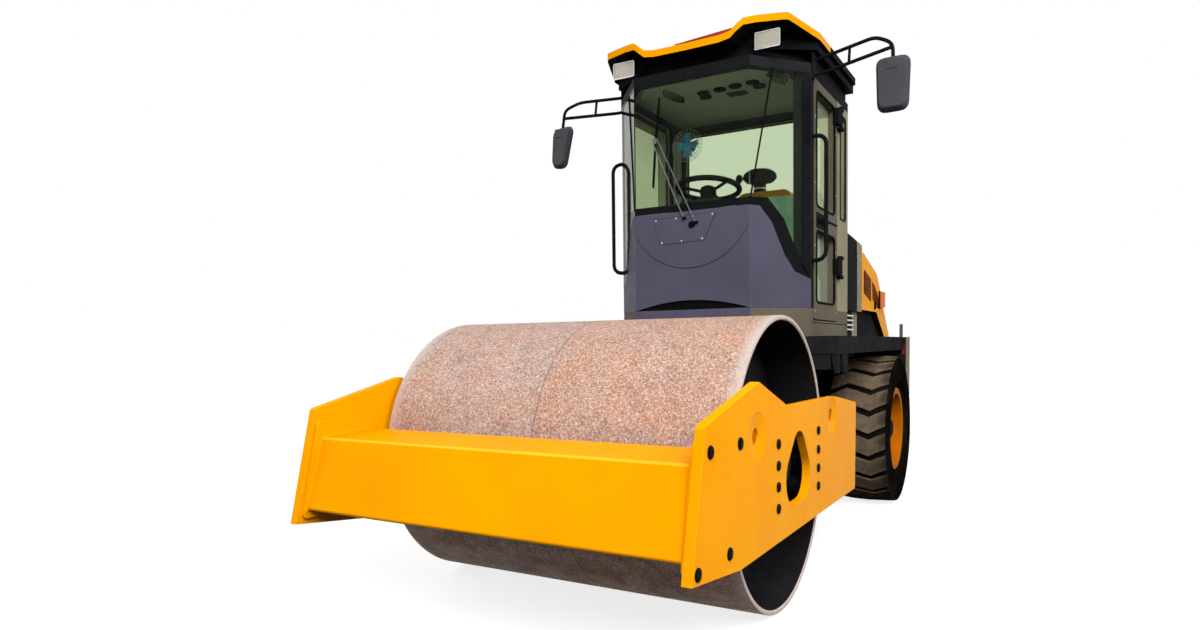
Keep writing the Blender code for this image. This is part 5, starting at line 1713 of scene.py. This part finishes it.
@dataclass
class Hood(Sided):
    """The hinged hood with its slatted vents, latches and turn lamps."""
    wall_x: Pair = (0.6105, 0.6145)
    face_x: float = 0.6095
    vents: tuple[tuple[Pair, ...], ...] = (
        ((1.392, 1.49), (1.392, 1.662), (1.634, 1.606), (1.638, 1.438)),
        ((1.679, 1.592), (1.775, 1.566), (1.925, 1.475), (1.925, 1.415), (1.7, 1.453)))
    pitch: float = 0.0135

    def build(self) -> None:
        """Builds the hood's pieces."""
        hood = dress("hood", YELLOW, 0.006, 3, 35)
        hood.also(BLACK, lambda middle, normal: normal.z < -0.6 or abs(middle.x) < 0.5805 and
                  abs(normal.x) > 0.9)
        for self.side in Side:
            dress(self.named("hood_mesh"), MESH, 0.0)
            self.slats()
            self.screens()
            self.turn_lamp()
            self.latch()
        self.rear_handle()

    def slats(self) -> None:
        """Fills the vents with level slats."""
        bars = []
        for corners in self.vents:
            heights = [z for y, z in corners]
            z, top = min(heights) + self.pitch, max(heights)
            while z < top - self.pitch / 2:
                ends = crossings(corners, z)
                if ends and ends[1] - ends[0] > 0.03:
                    low = (self.side * self.wall_x[0], ends[0] + 0.002, z - 0.0022)
                    high = (self.side * self.wall_x[1], ends[1] - 0.002, z + 0.0022)
                    bars.append(Form.box(self.named("hood_slats", len(bars)), low, high))
                z += self.pitch
        joined(bars).ease(0.001, 1).done(MESH, body="engine_hood")

    def screens(self) -> None:
        """Backs each vent with a dark brown sheet, which stands a little off the hood's side and paints the
        shade inside the vent.
        """
        sheets = []
        for k, corners in enumerate(self.vents):
            line = [(self.side * self.face_x, y, z) for y, z in corners]
            sheet = Form.plate(self.named("vent_screens", k), line, (self.side * 0.0022, 0, 0))
            sheets.append(sheet.ease(0.0008, 1))
        joined(sheets).done(VENT_SHADE, body="engine_hood")

    def turn_lamp(self) -> None:
        """Builds a turn lamp: its amber lens on a black foot."""
        lens = Form.box(self.named("turn_lens"), (self.side * 0.6175, 1.937, 1.397),
                        (self.side * 0.655, 1.993, 1.533))
        lens.shrink(facing(self.out), (1, 0.74, 0.88), (0, 1.965, 1.465))
        lens.ease(0.01, 4)
        lens.done(AMBER, self.named("turn_lamp"), body="engine_hood")
        foot = Form.box(self.named("turn_lamp_foot"), (self.side * 0.6095, 1.935, 1.395),
                        (self.side * 0.62, 1.995, 1.535))
        foot.ease(0.003, 3).done(GASKET, body="engine_hood")

    def latch(self) -> None:
        """Fits the rubber pull latch low on the hood's side."""
        base = Form.box(self.named("hood_latch"), (self.side * 0.6095, 1.76, 1.384),
                        (self.side * 0.615, 1.796, 1.45))
        pull = Form.box("pull", (self.side * 0.615, 1.77, 1.388), (self.side * 0.624, 1.786, 1.438))
        pull.shrink(facing(Way.UP), (0.6, 1.4, 1), (self.side * 0.615, 1.778, 0))
        base.ease(0.003, 2).join(pull.ease(0.003, 3)).done(GASKET, body="engine_hood")

    def rear_handle(self) -> None:
        """Fits the bar that lifts the hood."""
        bar = Form.tube("hood_handle", [(-0.09, 2.3, 1.252), (-0.09, 2.345, 1.29), (0.09, 2.345, 1.29),
                                        (0.09, 2.3, 1.252)], 0.008, 12, 0.02)
        bar.done(BLACK, body="engine_hood")


def crossings(corners: Sequence[Pair], level: float) -> list[float]:
    """Gives where a level line meets an outline.

    Args:
        corners: the outline's corners, across and up.
        level: how high the line is.

    Returns:
        The places, in rising order.
    """
    out = []
    for k, (a, b) in enumerate(corners):
        c, d = corners[k - 1]
        if (b - level) * (d - level) < 0:
            out.append(a + (c - a) * (level - b) / (d - b))
    return sorted(out)


@dataclass
class Tail(Sided):
    """The counterweight with its grille, lamps and towing eye."""
    back: float = 2.426
    lamp_x: float = 0.47
    lamp_z: float = 0.985

    def build(self) -> None:
        """Builds the tail's pieces."""
        dress("counterweight", BLACK, 0.01, 3)
        self.grille()
        self.towing_eye()
        for self.side in Side:
            self.lamps()

    def grille(self) -> None:
        """Casts the cooling slots in the counterweight's middle."""
        frame_plate = Form.box("tail_grille_frame", (-0.26, self.back - 0.004, 0.79),
                               (0.26, self.back + 0.003, 1.11))
        frame_plate.inset(facing(Way.BACK), 0.014, -0.005)
        frame_plate.ease(0.002, 2).done(BLACK)
        bar = Form.box("tail_grille_bars", (-0.24, self.back - 0.002, 0.818),
                       (0.24, self.back + 0.003, 0.826))
        bar.ease(0.0015, 2).repeat([shift(z=0.0212 * k) for k in range(13)])
        bar.done(SATIN)

    def towing_eye(self) -> None:
        """Fixes the towing eye and the four bolts of its plate."""
        plate = Form.box("towing_plate", (-0.075, self.back - 0.003, 0.655),
                         (0.075, self.back + 0.005, 0.775))
        ring = Form.lathe("ring", [(0.01 * c, 0.032 + 0.01 * s) for c, s in circle(12)],
                          (0, self.back + 0.0055, 0.712), (0, 1, 0), 28)
        head = bolt("head", (0, self.back + 0.005, 0.715), (0, 1, 0), 0.009)
        head.repeat([shift(x, 0, z) for x in (-0.058, 0.058) for z in (-0.044, 0.044)])
        plate.ease(0.003, 2).join(ring, head).done(BLACK)

    def lamps(self) -> None:
        """Sets the tail lamp cluster: stop lens, turn lens and their housing."""
        x, z, y = self.side * self.lamp_x, self.lamp_z, self.back
        housing = Form.box(self.named("tail_lamp_case"), (x - 0.08, y - 0.004, z - 0.052),
                           (x + 0.08, y + 0.006, z + 0.052))
        housing.inset(facing(Way.BACK), 0.006, -0.002)
        housing.ease(0.003, 2).done(GASKET)
        for name, low, high, finish in (("stop_lens", -0.07, 0.01, RED),
                                        ("rear_turn_lens", 0.016, 0.07, AMBER)):
            near, far = sorted((x + self.side * low, x + self.side * high))
            lens = Form.box(self.named(name), (near, y + 0.001, z - 0.042), (far, y + 0.012, z + 0.042))
            lens.shrink(facing(Way.BACK), (0.94, 1, 0.92), ((near + far) / 2, 0, z))
            lens.ease(0.003, 3).done(finish)


# Cab

@dataclass
class Facet:
    """One of the cab's slanted front facets, from its front corner back to the door."""
    side: Side
    start: Pair = (CAB_CORNER, CAB_FRONT)
    end: Pair = (0.61, -0.033)

    def at(self, x: float, z: float, out: float = 0.0) -> Triple:
        """Gives the place on the facet that lies at x, some way proud of it."""
        along = (Vector(self.end) - Vector(self.start))
        share = (x - self.start[0]) / along.x
        place = Vector(self.start) + along * share
        normal = Vector((along.y, -along.x)).normalized()
        place += normal * out
        return (self.side * place.x, place.y, z)

    def sheet(self, name: str, line: Sequence[Pair], out: float, thick: float) -> Form:
        """Cuts a thin sheet to an outline on the facet.

        Args:
            name: the piece's name.
            line: x and z of each corner.
            out: how proud its back stands.
            thick: its thickness.

        Returns:
            The sheet.
        """
        back, front = Vector(self.at(line[0][0], 0, out)), Vector(self.at(line[0][0], 0, out + thick))
        return Form.plate(name, [self.at(x, z, out) for x, z in line], front - back)


@dataclass
class Cab(Sided):
    """The cab's shell: base, front panel with its crescent slot, and the frame over them."""
    front: float = CAB_FRONT
    half: float = CAB_CORNER
    belt: float = 1.333
    drop: float = 0.055
    field: float = -0.354
    bulge: Triple = (-0.005, 1.965, 0.389)      # x, z and radius of the pressed field's edge
    access: tuple[Pair, ...] = ((-0.23, 1.869), (0.159, 1.878), (0.086, 1.727), (-0.186, 1.719))
    bolts: tuple[Pair, ...] = ((-0.214, 1.859), (-0.085, 1.862), (0.02, 1.866), (0.141, 1.868),
                               (0.078, 1.737), (-0.05, 1.733), (-0.176, 1.729))

    def build(self) -> None:
        """Builds the shell's pieces."""
        base = dress("cab_base", CAB_GREY, 0.004)
        # painted shade on the base's sides: the darker copy of the beige-grey
        base.also(GREY_PAINTED_SHADE, lambda middle, normal: abs(normal.x) > 0.7)
        panel = dress("cab_front_panel", CAB_GREY, 0.008, 3)
        # painted highlight on the panel's rounded creases
        panel.also(GREY_EDGE_HIGHLIGHT, lambda middle, normal: 0.15 < abs(normal.x) < 0.7 and abs(normal.z) < 0.8
                   and normal.y < 0)
        shell = Form.copy_of("cab_frame")
        shell.nudge(lambda point: abs(point.z - 2.62) < 0.001 and point.y < 0.1, (0, 0, 0.034))
        shell.nudge(lambda point: abs(point.z - 2.595) < 0.001 and point.y > 0.81, (0, 0, 0.06))
        for side in Side:
            shell.nudge(lambda point: abs(point.x - side * 0.47) < 0.001 and point.y > 0.81,
                        (side * 0.07, 0, 0))
        for place, normal in (((0, 0.03, 0), (0, 1, 0)), ((0, 0.595, 0), (0, 1, 0)),
                              ((0, 0, 2.657), (0, 0, 1))):
            shell.cut(place, normal)
        shell.ease(0.003).done(PILLAR_GREY, "cab_frame")
        shell.also(SATIN, lambda middle, normal: middle.z > 2.612 and middle.y < -0.03)
        shell.also(SATIN, lambda middle, normal: abs(middle.x) > 0.605 and (
            middle.y < 0.031 or middle.z > 2.656 or abs(middle.x) > 0.6115))
        shell.also(TRIM, lambda middle, normal: abs(middle.x) < 0.585 and -0.3 < middle.y < 0.845)
        self.slot()
        self.pressed_line()
        self.access_cover()
        self.seams()
        self.rear_gasket()
        for self.side in Side:
            self.quarter_gasket()

    def slot(self) -> None:
        """Closes the crescent slot between the base and the panel with a dark strip that paints the shade
        inside the slot.
        """
        radius = (self.half ** 2 + self.drop ** 2) / (2 * self.drop)
        reach = radians(17.2)
        arc = [(radius * sin(reach * k / 12), self.front + 0.01,
                self.belt + self.drop - radius + radius * cos(reach * k / 12)) for k in range(-12, 13)]
        low = self.belt - 0.002
        corners = [(*arc[0][:2], low), *arc, (*arc[-1][:2], low)]
        strip = Form.plate("crescent_slot", corners, (0, 0.006, 0))
        strip.inset(facing(Way.FRONT), 0.006, -0.002)
        strip.done(GASKET)

    def pressed_line(self) -> None:
        """Rounds the lower edge of the panel's pressed field."""
        x, z, radius = self.bulge
        arc = [(x + radius * cos(radians(a)), self.field + 0.0012, z + radius * sin(radians(a)))
               for a in range(-155, -24, 5)]
        Form.tube("pressed_line", [p for p in arc if abs(p[0]) < 0.35], 0.0026, 8).done(CAB_GREY)

    def access_cover(self) -> None:
        """Bolts the wiper motor's cover to the panel."""
        corners = [(x, self.field - 0.0003, z) for x, z in self.access]
        plate = Form.plate("access_cover", corners, (0, -0.003, 0))
        plate.inset(facing(Way.FRONT), 0.008, 0.0012)
        plate.ease(0.0012, 2).done(CAB_GREY)
        edge = [(x, self.field - 0.0008, z) for x, z in self.access]
        Form.tube("access_edge", edge, 0.0022, 8, 0.012, closed=True).done(GASKET)
        head = bolt("access_bolts", (0, self.field - 0.0032, 0), (0, -1, 0), 0.006)
        head.repeat([shift(x=x, z=z) for x, z in self.bolts])
        head.done(BRIGHT)

    def seams(self) -> None:
        """Marks the level seam round the cab's base."""
        for self.side in Side:
            line = Form.box(self.named("base_seam"), (self.side * 0.6085, -0.02, 1.2475),
                            (self.side * 0.6108, 0.868, 1.2525))
            line.ease(0.0008, 1).done(GASKET)

    def quarter_gasket(self) -> None:
        """Runs the seal round the narrow window behind the door."""
        line = [(self.side * 0.6095, 0.655, 1.93), (self.side * 0.6095, 0.8, 1.93),
                (self.side * 0.6095, 0.8, 2.595), (self.side * 0.6095, 0.655, 2.595)]
        Form.tube(self.named("quarter_seal"), line, 0.006, 10, 0.03, closed=True).done(GASKET)

    def rear_gasket(self) -> None:
        """Runs the seal round the rear window."""
        line = [(-0.54, 0.8695, 1.93), (0.54, 0.8695, 1.93), (0.54, 0.8695, 2.655), (-0.54, 0.8695, 2.655)]
        Form.tube("rear_seal", line, 0.0065, 10, 0.045, closed=True).done(GASKET)


@dataclass
class Windscreen(Sided):
    """The bent windscreen, its printed black border, and its wiper."""
    front: float = CAB_FRONT
    lower: tuple[Pair, ...] = ((0.357, 1.902), (0.398, 1.898), (0.447, 1.81), (0.5, 1.629), (0.542, 1.54),
                               (0.61, 1.497))
    inner: tuple[Pair, ...] = ((0.575, 1.59), (0.545, 1.665), (0.497, 1.83), (0.43, 1.945), (0.357, 1.945))
    top: float = 2.66
    border: float = 2.648
    print_out: float = 0.0003
    print_thick: float = 0.0006
    field_y: float = -0.3545        # the panel's pressed field, where the wiper's motor sits

    def build(self) -> None:
        """Builds the windscreen's pieces."""
        dress("windscreen", CLEAR, 0.0)
        rear = Form.copy_of("rear_glass").nudge(lambda point: point.z > 2.6, (0, 0, 0.06))
        rear.done(CLEAR, "rear_glass")
        self.centre_print()
        for self.side in Side:
            self.side_print()
        self.creases()
        self.wiper()

    def centre_print(self) -> None:
        """Prints the border on the flat middle."""
        y = self.front - self.print_out
        low = Form.box("screen_print_low", (-0.357, y, 1.9025), (0.357, y - self.print_thick, 1.945))
        high = Form.box("screen_print_high", (-0.357, y, self.border),
                        (0.357, y - self.print_thick, self.top))
        low.join(high).ease(0.0002, 1).done(PRINT)

    def side_print(self) -> None:
        """Prints the border on one slanted facet, with its swept lower corner."""
        facet = Facet(self.side)
        swept = facet.sheet(self.named("screen_print"), self.lower + self.inner, self.print_out,
                            self.print_thick)
        post = facet.sheet("post", ((0.572, 1.56), (0.6095, 1.497), (0.6095, self.top), (0.572, self.top)),
                           self.print_out, self.print_thick)
        high = facet.sheet("high", ((0.357, self.border), (0.572, self.border), (0.572, self.top),
                                    (0.357, self.top)), self.print_out, self.print_thick)
        swept.join(post, high).done(PRINT)

    def creases(self) -> None:
        """Draws the line along which the glass is bent, on each side."""
        lines = []
        for self.side in Side:
            facet = Facet(self.side)
            lines.append(Form.tube(self.named("screen_crease"),
                                   [facet.at(0.3592, 1.935, 0.0006),
                                    facet.at(0.45, self.top - 0.002, 0.0006)], 0.0052, 8))
        joined(lines).done(GASKET)

    def wiper(self) -> None:
        """Builds the wiper: motor cap, two arms, and the blade with its rubber."""
        level = self.front - 0.026
        posts = []
        for k, (x, z) in enumerate(((-0.03, 1.86), (0.044, 1.829))):
            post = Form.rod("wiper_posts_%d" % k, (x, self.front - 0.003, z), (x, level - 0.004, z),
                            0.011, 20, 0.0075)
            posts.append(post.ease(0.0015, 2))
        motor = cap("motor", (0.013, self.field_y, 1.82), (0, -1, 0), 0.02, 0.013)
        joined([*posts, motor]).done(GASKET)
        arms = [Form.tube("wiper_arms", [(-0.03, level, 1.86), (-0.221, level, 2.31)], 0.0042, 10),
                Form.tube("arm", [(0.044, level, 1.829), (-0.197, level, 2.333)], 0.0034, 10),
                Form.box("link", (-0.22, level - 0.004, 2.304),
                         (-0.198, level + 0.004, 2.337)).ease(0.003, 2)]
        joined(arms).done(ARM)
        spine = Form.tube("wiper_blade", [(-0.183, level + 0.01, 2.57), (-0.209, level + 0.008, 2.313),
                                          (-0.227, level + 0.01, 2.057)], 0.006, 10)
        rubber = Form.tube("rubber", [(-0.183, level + 0.02, 2.575), (-0.209, level + 0.02, 2.313),
                                      (-0.227, level + 0.02, 2.052)], 0.0035, 8)
        spine.join(rubber).done(GASKET)


@dataclass
class Door(Sided):
    """The cab doors: frame, seals, glass, handle and latch rod."""
    face: float = 0.611
    lights: tuple[tuple[float, float, float, float], ...] = (
        (0.075, 0.505, 1.37, 1.79), (0.075, 0.505, 1.93, 2.595))

    def build(self) -> None:
        """Builds the door's pieces."""
        for self.side in Side:
            # painted shade: the door frame takes the darker copy of the beige-grey
            door = dress(self.named("door"), GREY_PAINTED_SHADE, 0.003)
            door.also(SATIN, lambda middle, normal: abs(middle.x) > self.face + 0.0015)
            door.also(TRIM, lambda middle, normal: normal.x * self.side < -0.9)
            dress(self.named("door_glass"), HAZY, 0.0)
            self.seals()
            self.handle()
            self.rod()
            self.screws()

    def seals(self) -> None:
        """Runs a seal round each light."""
        rings = []
        for k, (near, far, low, high) in enumerate(self.lights):
            line = [(self.side * self.face, near, low), (self.side * self.face, far, low),
                    (self.side * self.face, far, high), (self.side * self.face, near, high)]
            rings.append(Form.tube(self.named("door_seals", k), line, 0.007, 10, 0.045, closed=True))
        joined(rings).done(GASKET, body=self.named("cab_door"))

    def handle(self) -> None:
        """Builds the long black handle with its recess plate and button."""
        plate = Form.box(self.named("door_handle"), (self.side * (self.face - 0.001), 0.073, 1.806),
                         (self.side * (self.face + 0.004), 0.302, 1.896)).ease(0.004, 3)
        bar = Form.tube("bar", [(self.side * (self.face + 0.003), 0.095, 1.852),
                                (self.side * (self.face + 0.026), 0.11, 1.852),
                                (self.side * (self.face + 0.026), 0.262, 1.852),
                                (self.side * (self.face + 0.003), 0.278, 1.852)], 0.0085, 12, 0.02)
        lock = Form.rod("lock", (self.side * (self.face + 0.003), 0.29, 1.828),
                        (self.side * (self.face + 0.007), 0.29, 1.828), 0.008, 20)
        plate.join(bar, lock.ease(0.001, 1)).done(SATIN, body=self.named("cab_door"))

    def rod(self) -> None:
        """Runs the latch rod across the door to its hinge side."""
        rod = Form.tube(self.named("door_rod"), [(self.side * (self.face + 0.004), 0.3, 1.872),
                                                 (self.side * (self.face + 0.004), 0.56, 1.872)], 0.0045, 10)
        rod.done(SATIN, body=self.named("cab_door"))

    def screws(self) -> None:
        """Puts two rows of screws down the door."""
        head = cap(self.named("door_screws"), (self.side * self.face, 0, 0), (self.side, 0, 0), 0.0055, 0.002)
        head.repeat([shift(y=y, z=z) for y in (0.048, 0.54) for z in (1.32, 1.7, 2.06, 2.44)])
        head.done(BRIGHT, body=self.named("cab_door"))


@dataclass
class Interior:
    """What shows through the glass: seat, steering column, dashboard, consoles and fan."""
    seat_x: float = 0.27
    floor: float = 1.2006
    fan_at: Triple = (-0.41, 0.55, 2.52)
    fan_radius: float = 0.112

    def build(self) -> None:
        """Builds the interior's pieces."""
        self.cushions()
        self.pedestal()
        self.column()
        self.side_console()
        self.mat()
        self.fan()

    def cushions(self) -> None:
        """Pads the seat and its back, which stand for the plain CAD seat."""
        x, half = self.seat_x, 0.212
        seat = padded("seat_cushion", [(x - half, 0.305, 1.585), (x + half, 0.305, 1.585),
                                       (x + half, 0.3, 1.668), (x - half, 0.3, 1.668)], (0, 0.315, -0.012), 9)
        seat.done(CLOTH, "seat", angle=70)
        back = padded("seat_back", [(x - half, 0.64, 1.64), (x + half, 0.64, 1.64), (x + half, 0.56, 1.66),
                                    (x - half, 0.56, 1.66)], (0, 0.082, 0.458), 9)
        back.done(CLOTH, angle=70)
        edge = [(x - half - 0.002, 0.65, 1.665), (x - half - 0.002, 0.733, 2.095),
                (x + half + 0.002, 0.733, 2.095), (x + half + 0.002, 0.65, 1.665)]
        Form.tube("seat_piping", edge, 0.004, 8, 0.05).done(GASKET)

    def pedestal(self) -> None:
        """Stands the seat on its bellows and rails."""
        x = self.seat_x
        pan = Form.box("seat_pan", (x - 0.19, 0.33, 1.552), (x + 0.19, 0.64, 1.58)).ease(0.008, 3)
        folds = []
        for k in range(7):
            z = self.floor + 0.036 + 0.046 * k
            fold = Form.box("fold_%d" % k, (x - 0.16, 0.362, z), (x + 0.16, 0.618, z + 0.044))
            fold.shrink(lambda middle, normal: abs(normal.z) > 0.9, (0.9, 0.9, 1), (x, 0.49, z + 0.022))
            folds.append(fold.ease(0.004, 2))
        foot = Form.box("foot", (x - 0.165, 0.35, self.floor),
                        (x + 0.165, 0.63, self.floor + 0.036)).ease(0.004, 2)
        shell = Form.box("shell", (x - 0.19, 0.64, 1.64), (x + 0.19, 0.668, 2.08))
        shell.moved(turned(-10.0, "X", (x, 0.655, 1.64))).ease(0.01, 3)
        pan.join(*folds, foot, shell).done(TRIM)

    def column(self) -> None:
        """Builds the steering column with its wheel, knob, gauges and levers."""
        hub, lean = Vector((0, -0.07, 2.07)), radians(10.5)
        up, old = Vector((0, sin(lean), cos(lean))), Vector((0, -sin(radians(24)), cos(radians(24))))
        column = Form.copy_of("steering_console")
        column.swing(lambda point: (point - hub).length > 0.055 and abs((point - hub).dot(old)) < 0.028,
                     -34.5, "X", tuple(hub))
        column.ease(0.004, 3).done(TRIM, "steering_console")
        column.also(GASKET, lambda middle, normal: middle.z > 1.985)
        boss = Form.lathe("steering_boss", ((-0.085, 0), (-0.085, 0.03), (-0.03, 0.05), (0.004, 0.046),
                                            (0.014, 0.03), (0.016, 0)), hub, up, 32, closed=False)
        grip = Form.lathe("steering_grip",
                          [(0.0165 * c, 0.185 + 0.0165 * s) for c, s in circle(12)], hub, up, 56)
        boss.join(grip).done(GASKET)
        at = hub + Vector((0.183, 0.026, -0.005))
        knob = Form.ball("steering_knob", at + 0.05 * up, 0.021, (1, 1, 1.25))
        knob.join(Form.rod("knob_stem", at, at + 0.034 * up, 0.009, 14)).done(GASKET)
        binnacle = Form.box("gauge_binnacle", (-0.13, -0.235, 1.9), (0.13, -0.15, 1.985))
        binnacle.shrink(facing(Way.UP), (0.86, 0.7, 1), (0, -0.235, 1.985))
        binnacle.inset(facing(Way.BACK, 0.8), 0.01, -0.004)
        binnacle.ease(0.008, 3).done(TRIM)
        dial = ((0, 0), (0, 0.024), (0.004, 0.026), (0.007, 0.024), (0.006, 0.021),
                (0.004, 0.021), (0.004, 0))
        dials = Form.lathe("gauges", dial, (0, -0.1545, 1.935), (0, 1, 0.12), 28, closed=False)
        dials.repeat([shift(x=x) for x in (-0.078, 0.0, 0.078)])
        dials.done(BRIGHT)

    def side_console(self) -> None:
        """Builds the control console on the seat's right, with its drive lever."""
        box = Form.box("side_console", (-0.06, 0.24, self.floor), (0.03, 0.76, 1.73))
        box.shrink(facing(Way.FRONT), (0.8, 1, 0.86), (-0.015, 0.24, self.floor))
        box.inset(facing(Way.UP, 0.8), 0.012, -0.004)
        box.ease(0.01, 3).done(TRIM)
        boot = Form.rod("lever", (-0.015, 0.33, 1.66), (-0.015, 0.325, 1.72), 0.03, 20, 0.012)
        lever = Form.rod("drive_lever", (-0.015, 0.326, 1.7), (-0.015, 0.31, 1.84), 0.0075, 14)
        grip = Form.ball("grip", (-0.015, 0.307, 1.865), 0.023, (1, 1, 1.7))
        lever.join(boot, grip).done(GASKET)

    def mat(self) -> None:
        """Lays the ribbed floor mat and its pedals."""
        mat = Form.box("floor_mat", (-0.48, -0.12, self.floor),
                       (-0.08, 0.78, self.floor + 0.006)).ease(0.002, 2)
        rib = Form.box("rib", (-0.46, -0.1, self.floor + 0.005), (-0.454, 0.76, self.floor + 0.009))
        rib.ease(0.001, 1).repeat([shift(x=0.02 * k) for k in range(18)])
        mat.join(rib).done(GASKET)

    def fan(self) -> None:
        """Hangs the blue-bladed fan in its wire cage on a post."""
        at, radius = Vector(self.fan_at), self.fan_radius
        blade = Form.plate("fan_blades", [at + Vector(p) for p in (
            (0.012, -0.006, 0.01), (0.03, -0.012, 0.066), (0.0, -0.004, 0.084), (-0.032, 0.008, 0.07),
            (-0.016, 0.006, 0.012))], (0, 0.0025, 0))
        blade.ease(0.0012, 1).repeat([turned(90 * k, "Y", at) for k in range(4)])
        hub = cap("fan_hub", at, (0, -1, 0), 0.022, 0.016)
        blade.join(hub).done(BLUE)
        hoops = ((0.0, radius), (-0.022, radius * 0.72), (-0.03, radius * 0.34), (0.022, radius * 0.72))
        rings = [Form.lathe("fan_cage", [(reach + 0.0016 * c, size + 0.0016 * s) for c, s in circle(8)], at,
                            (0, 1, 0), 40) for reach, size in hoops]
        wire = Form.tube("wire", [at + Vector(p) for p in (
            (0, -0.031, 0.02), (0, -0.028, 0.05), (0, -0.018, 0.082), (0, 0, radius), (0, 0.018, 0.082),
            (0, 0.028, 0.04))], 0.0012, 6)
        wire.repeat([turned(15 * k, "Y", at) for k in range(24)])
        joined([*rings, wire]).done(BRIGHT)
        motor = Form.rod("fan_motor", at + Vector((0, 0.012, 0)), at + Vector((0, 0.085, 0)),
                         0.034, 28, 0.028)
        post = Form.tube("post", [at + Vector((-0.04, 0.05, -0.373)), at + Vector((-0.04, 0.05, 0.147))],
                         0.006, 10)
        arm = Form.tube("arm", [at + Vector((-0.04, 0.05, 0.0)), at + Vector((-0.01, 0.05, 0.0))], 0.007, 10)
        motor.ease(0.006, 3).join(post, arm).done(SATIN)


def padded(name: str, corners: Sequence[Triple], run: Triple, cuts: int) -> Form:
    """Models a stuffed cushion: crowned, drawn in between its corners, with sewn channels.

    Args:
        name: the piece's name.
        corners: its first end, in order round it.
        run: the way and the distance to its other end.
        cuts: how many cuts each of its sides gets.

    Returns:
        The cushion.
    """
    form = Form.plate(name, corners, run)
    with form.editing(everything=True):
        bpy.ops.mesh.subdivide(number_cuts=cuts)
    place = [Vector(c) for c in corners]
    middle = sum(place, Vector()) / len(place) + Vector(run) / 2
    across = (place[1] - place[0])
    through = (place[3] - place[0])
    along = Vector(run)
    sewn = (-0.3, 0.3)
    for vertex in form.obj.data.vertices:
        off = vertex.co - middle
        u, v, w = (2 * off.dot(a) / a.length_squared for a in (across, through, along))
        crown = (1 - u * u) * (1 - w * w)
        pinch = 1 - 0.035 * (1 - w * w) - 0.02 * (1 - v * v)
        vertex.co = middle + across * u * pinch / 2 + through * v * (0.8 + 0.26 * crown) / 2 + along * w * (
            1 - 0.03 * (1 - u * u)) / 2
        groove = max(0.0, 1 - min(abs(u - s) for s in sewn) / 0.1)
        vertex.co -= through * v * groove * 0.045
    form.modify("SUBSURF", levels=2, render_levels=2)
    return form


def main() -> None:
    """Builds the stage and every sub-assembly, in order."""
    logging.basicConfig(level=logging.INFO, format="%(message)s")
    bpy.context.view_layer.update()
    Studio().build()
    assemblies = (Drum(), FrontFrame(), Steering(), Wheel(), Chassis(), Engine(), Tank(), Hood(), Tail(),
                  Cab(), Windscreen(), Door(), Interior(), Roof(), WorkLamp(), *MIRRORS)
    for assembly in assemblies:
        LOG.info("building %s", type(assembly).__name__)
        assembly.build()


if __name__ == "__main__":
    main()
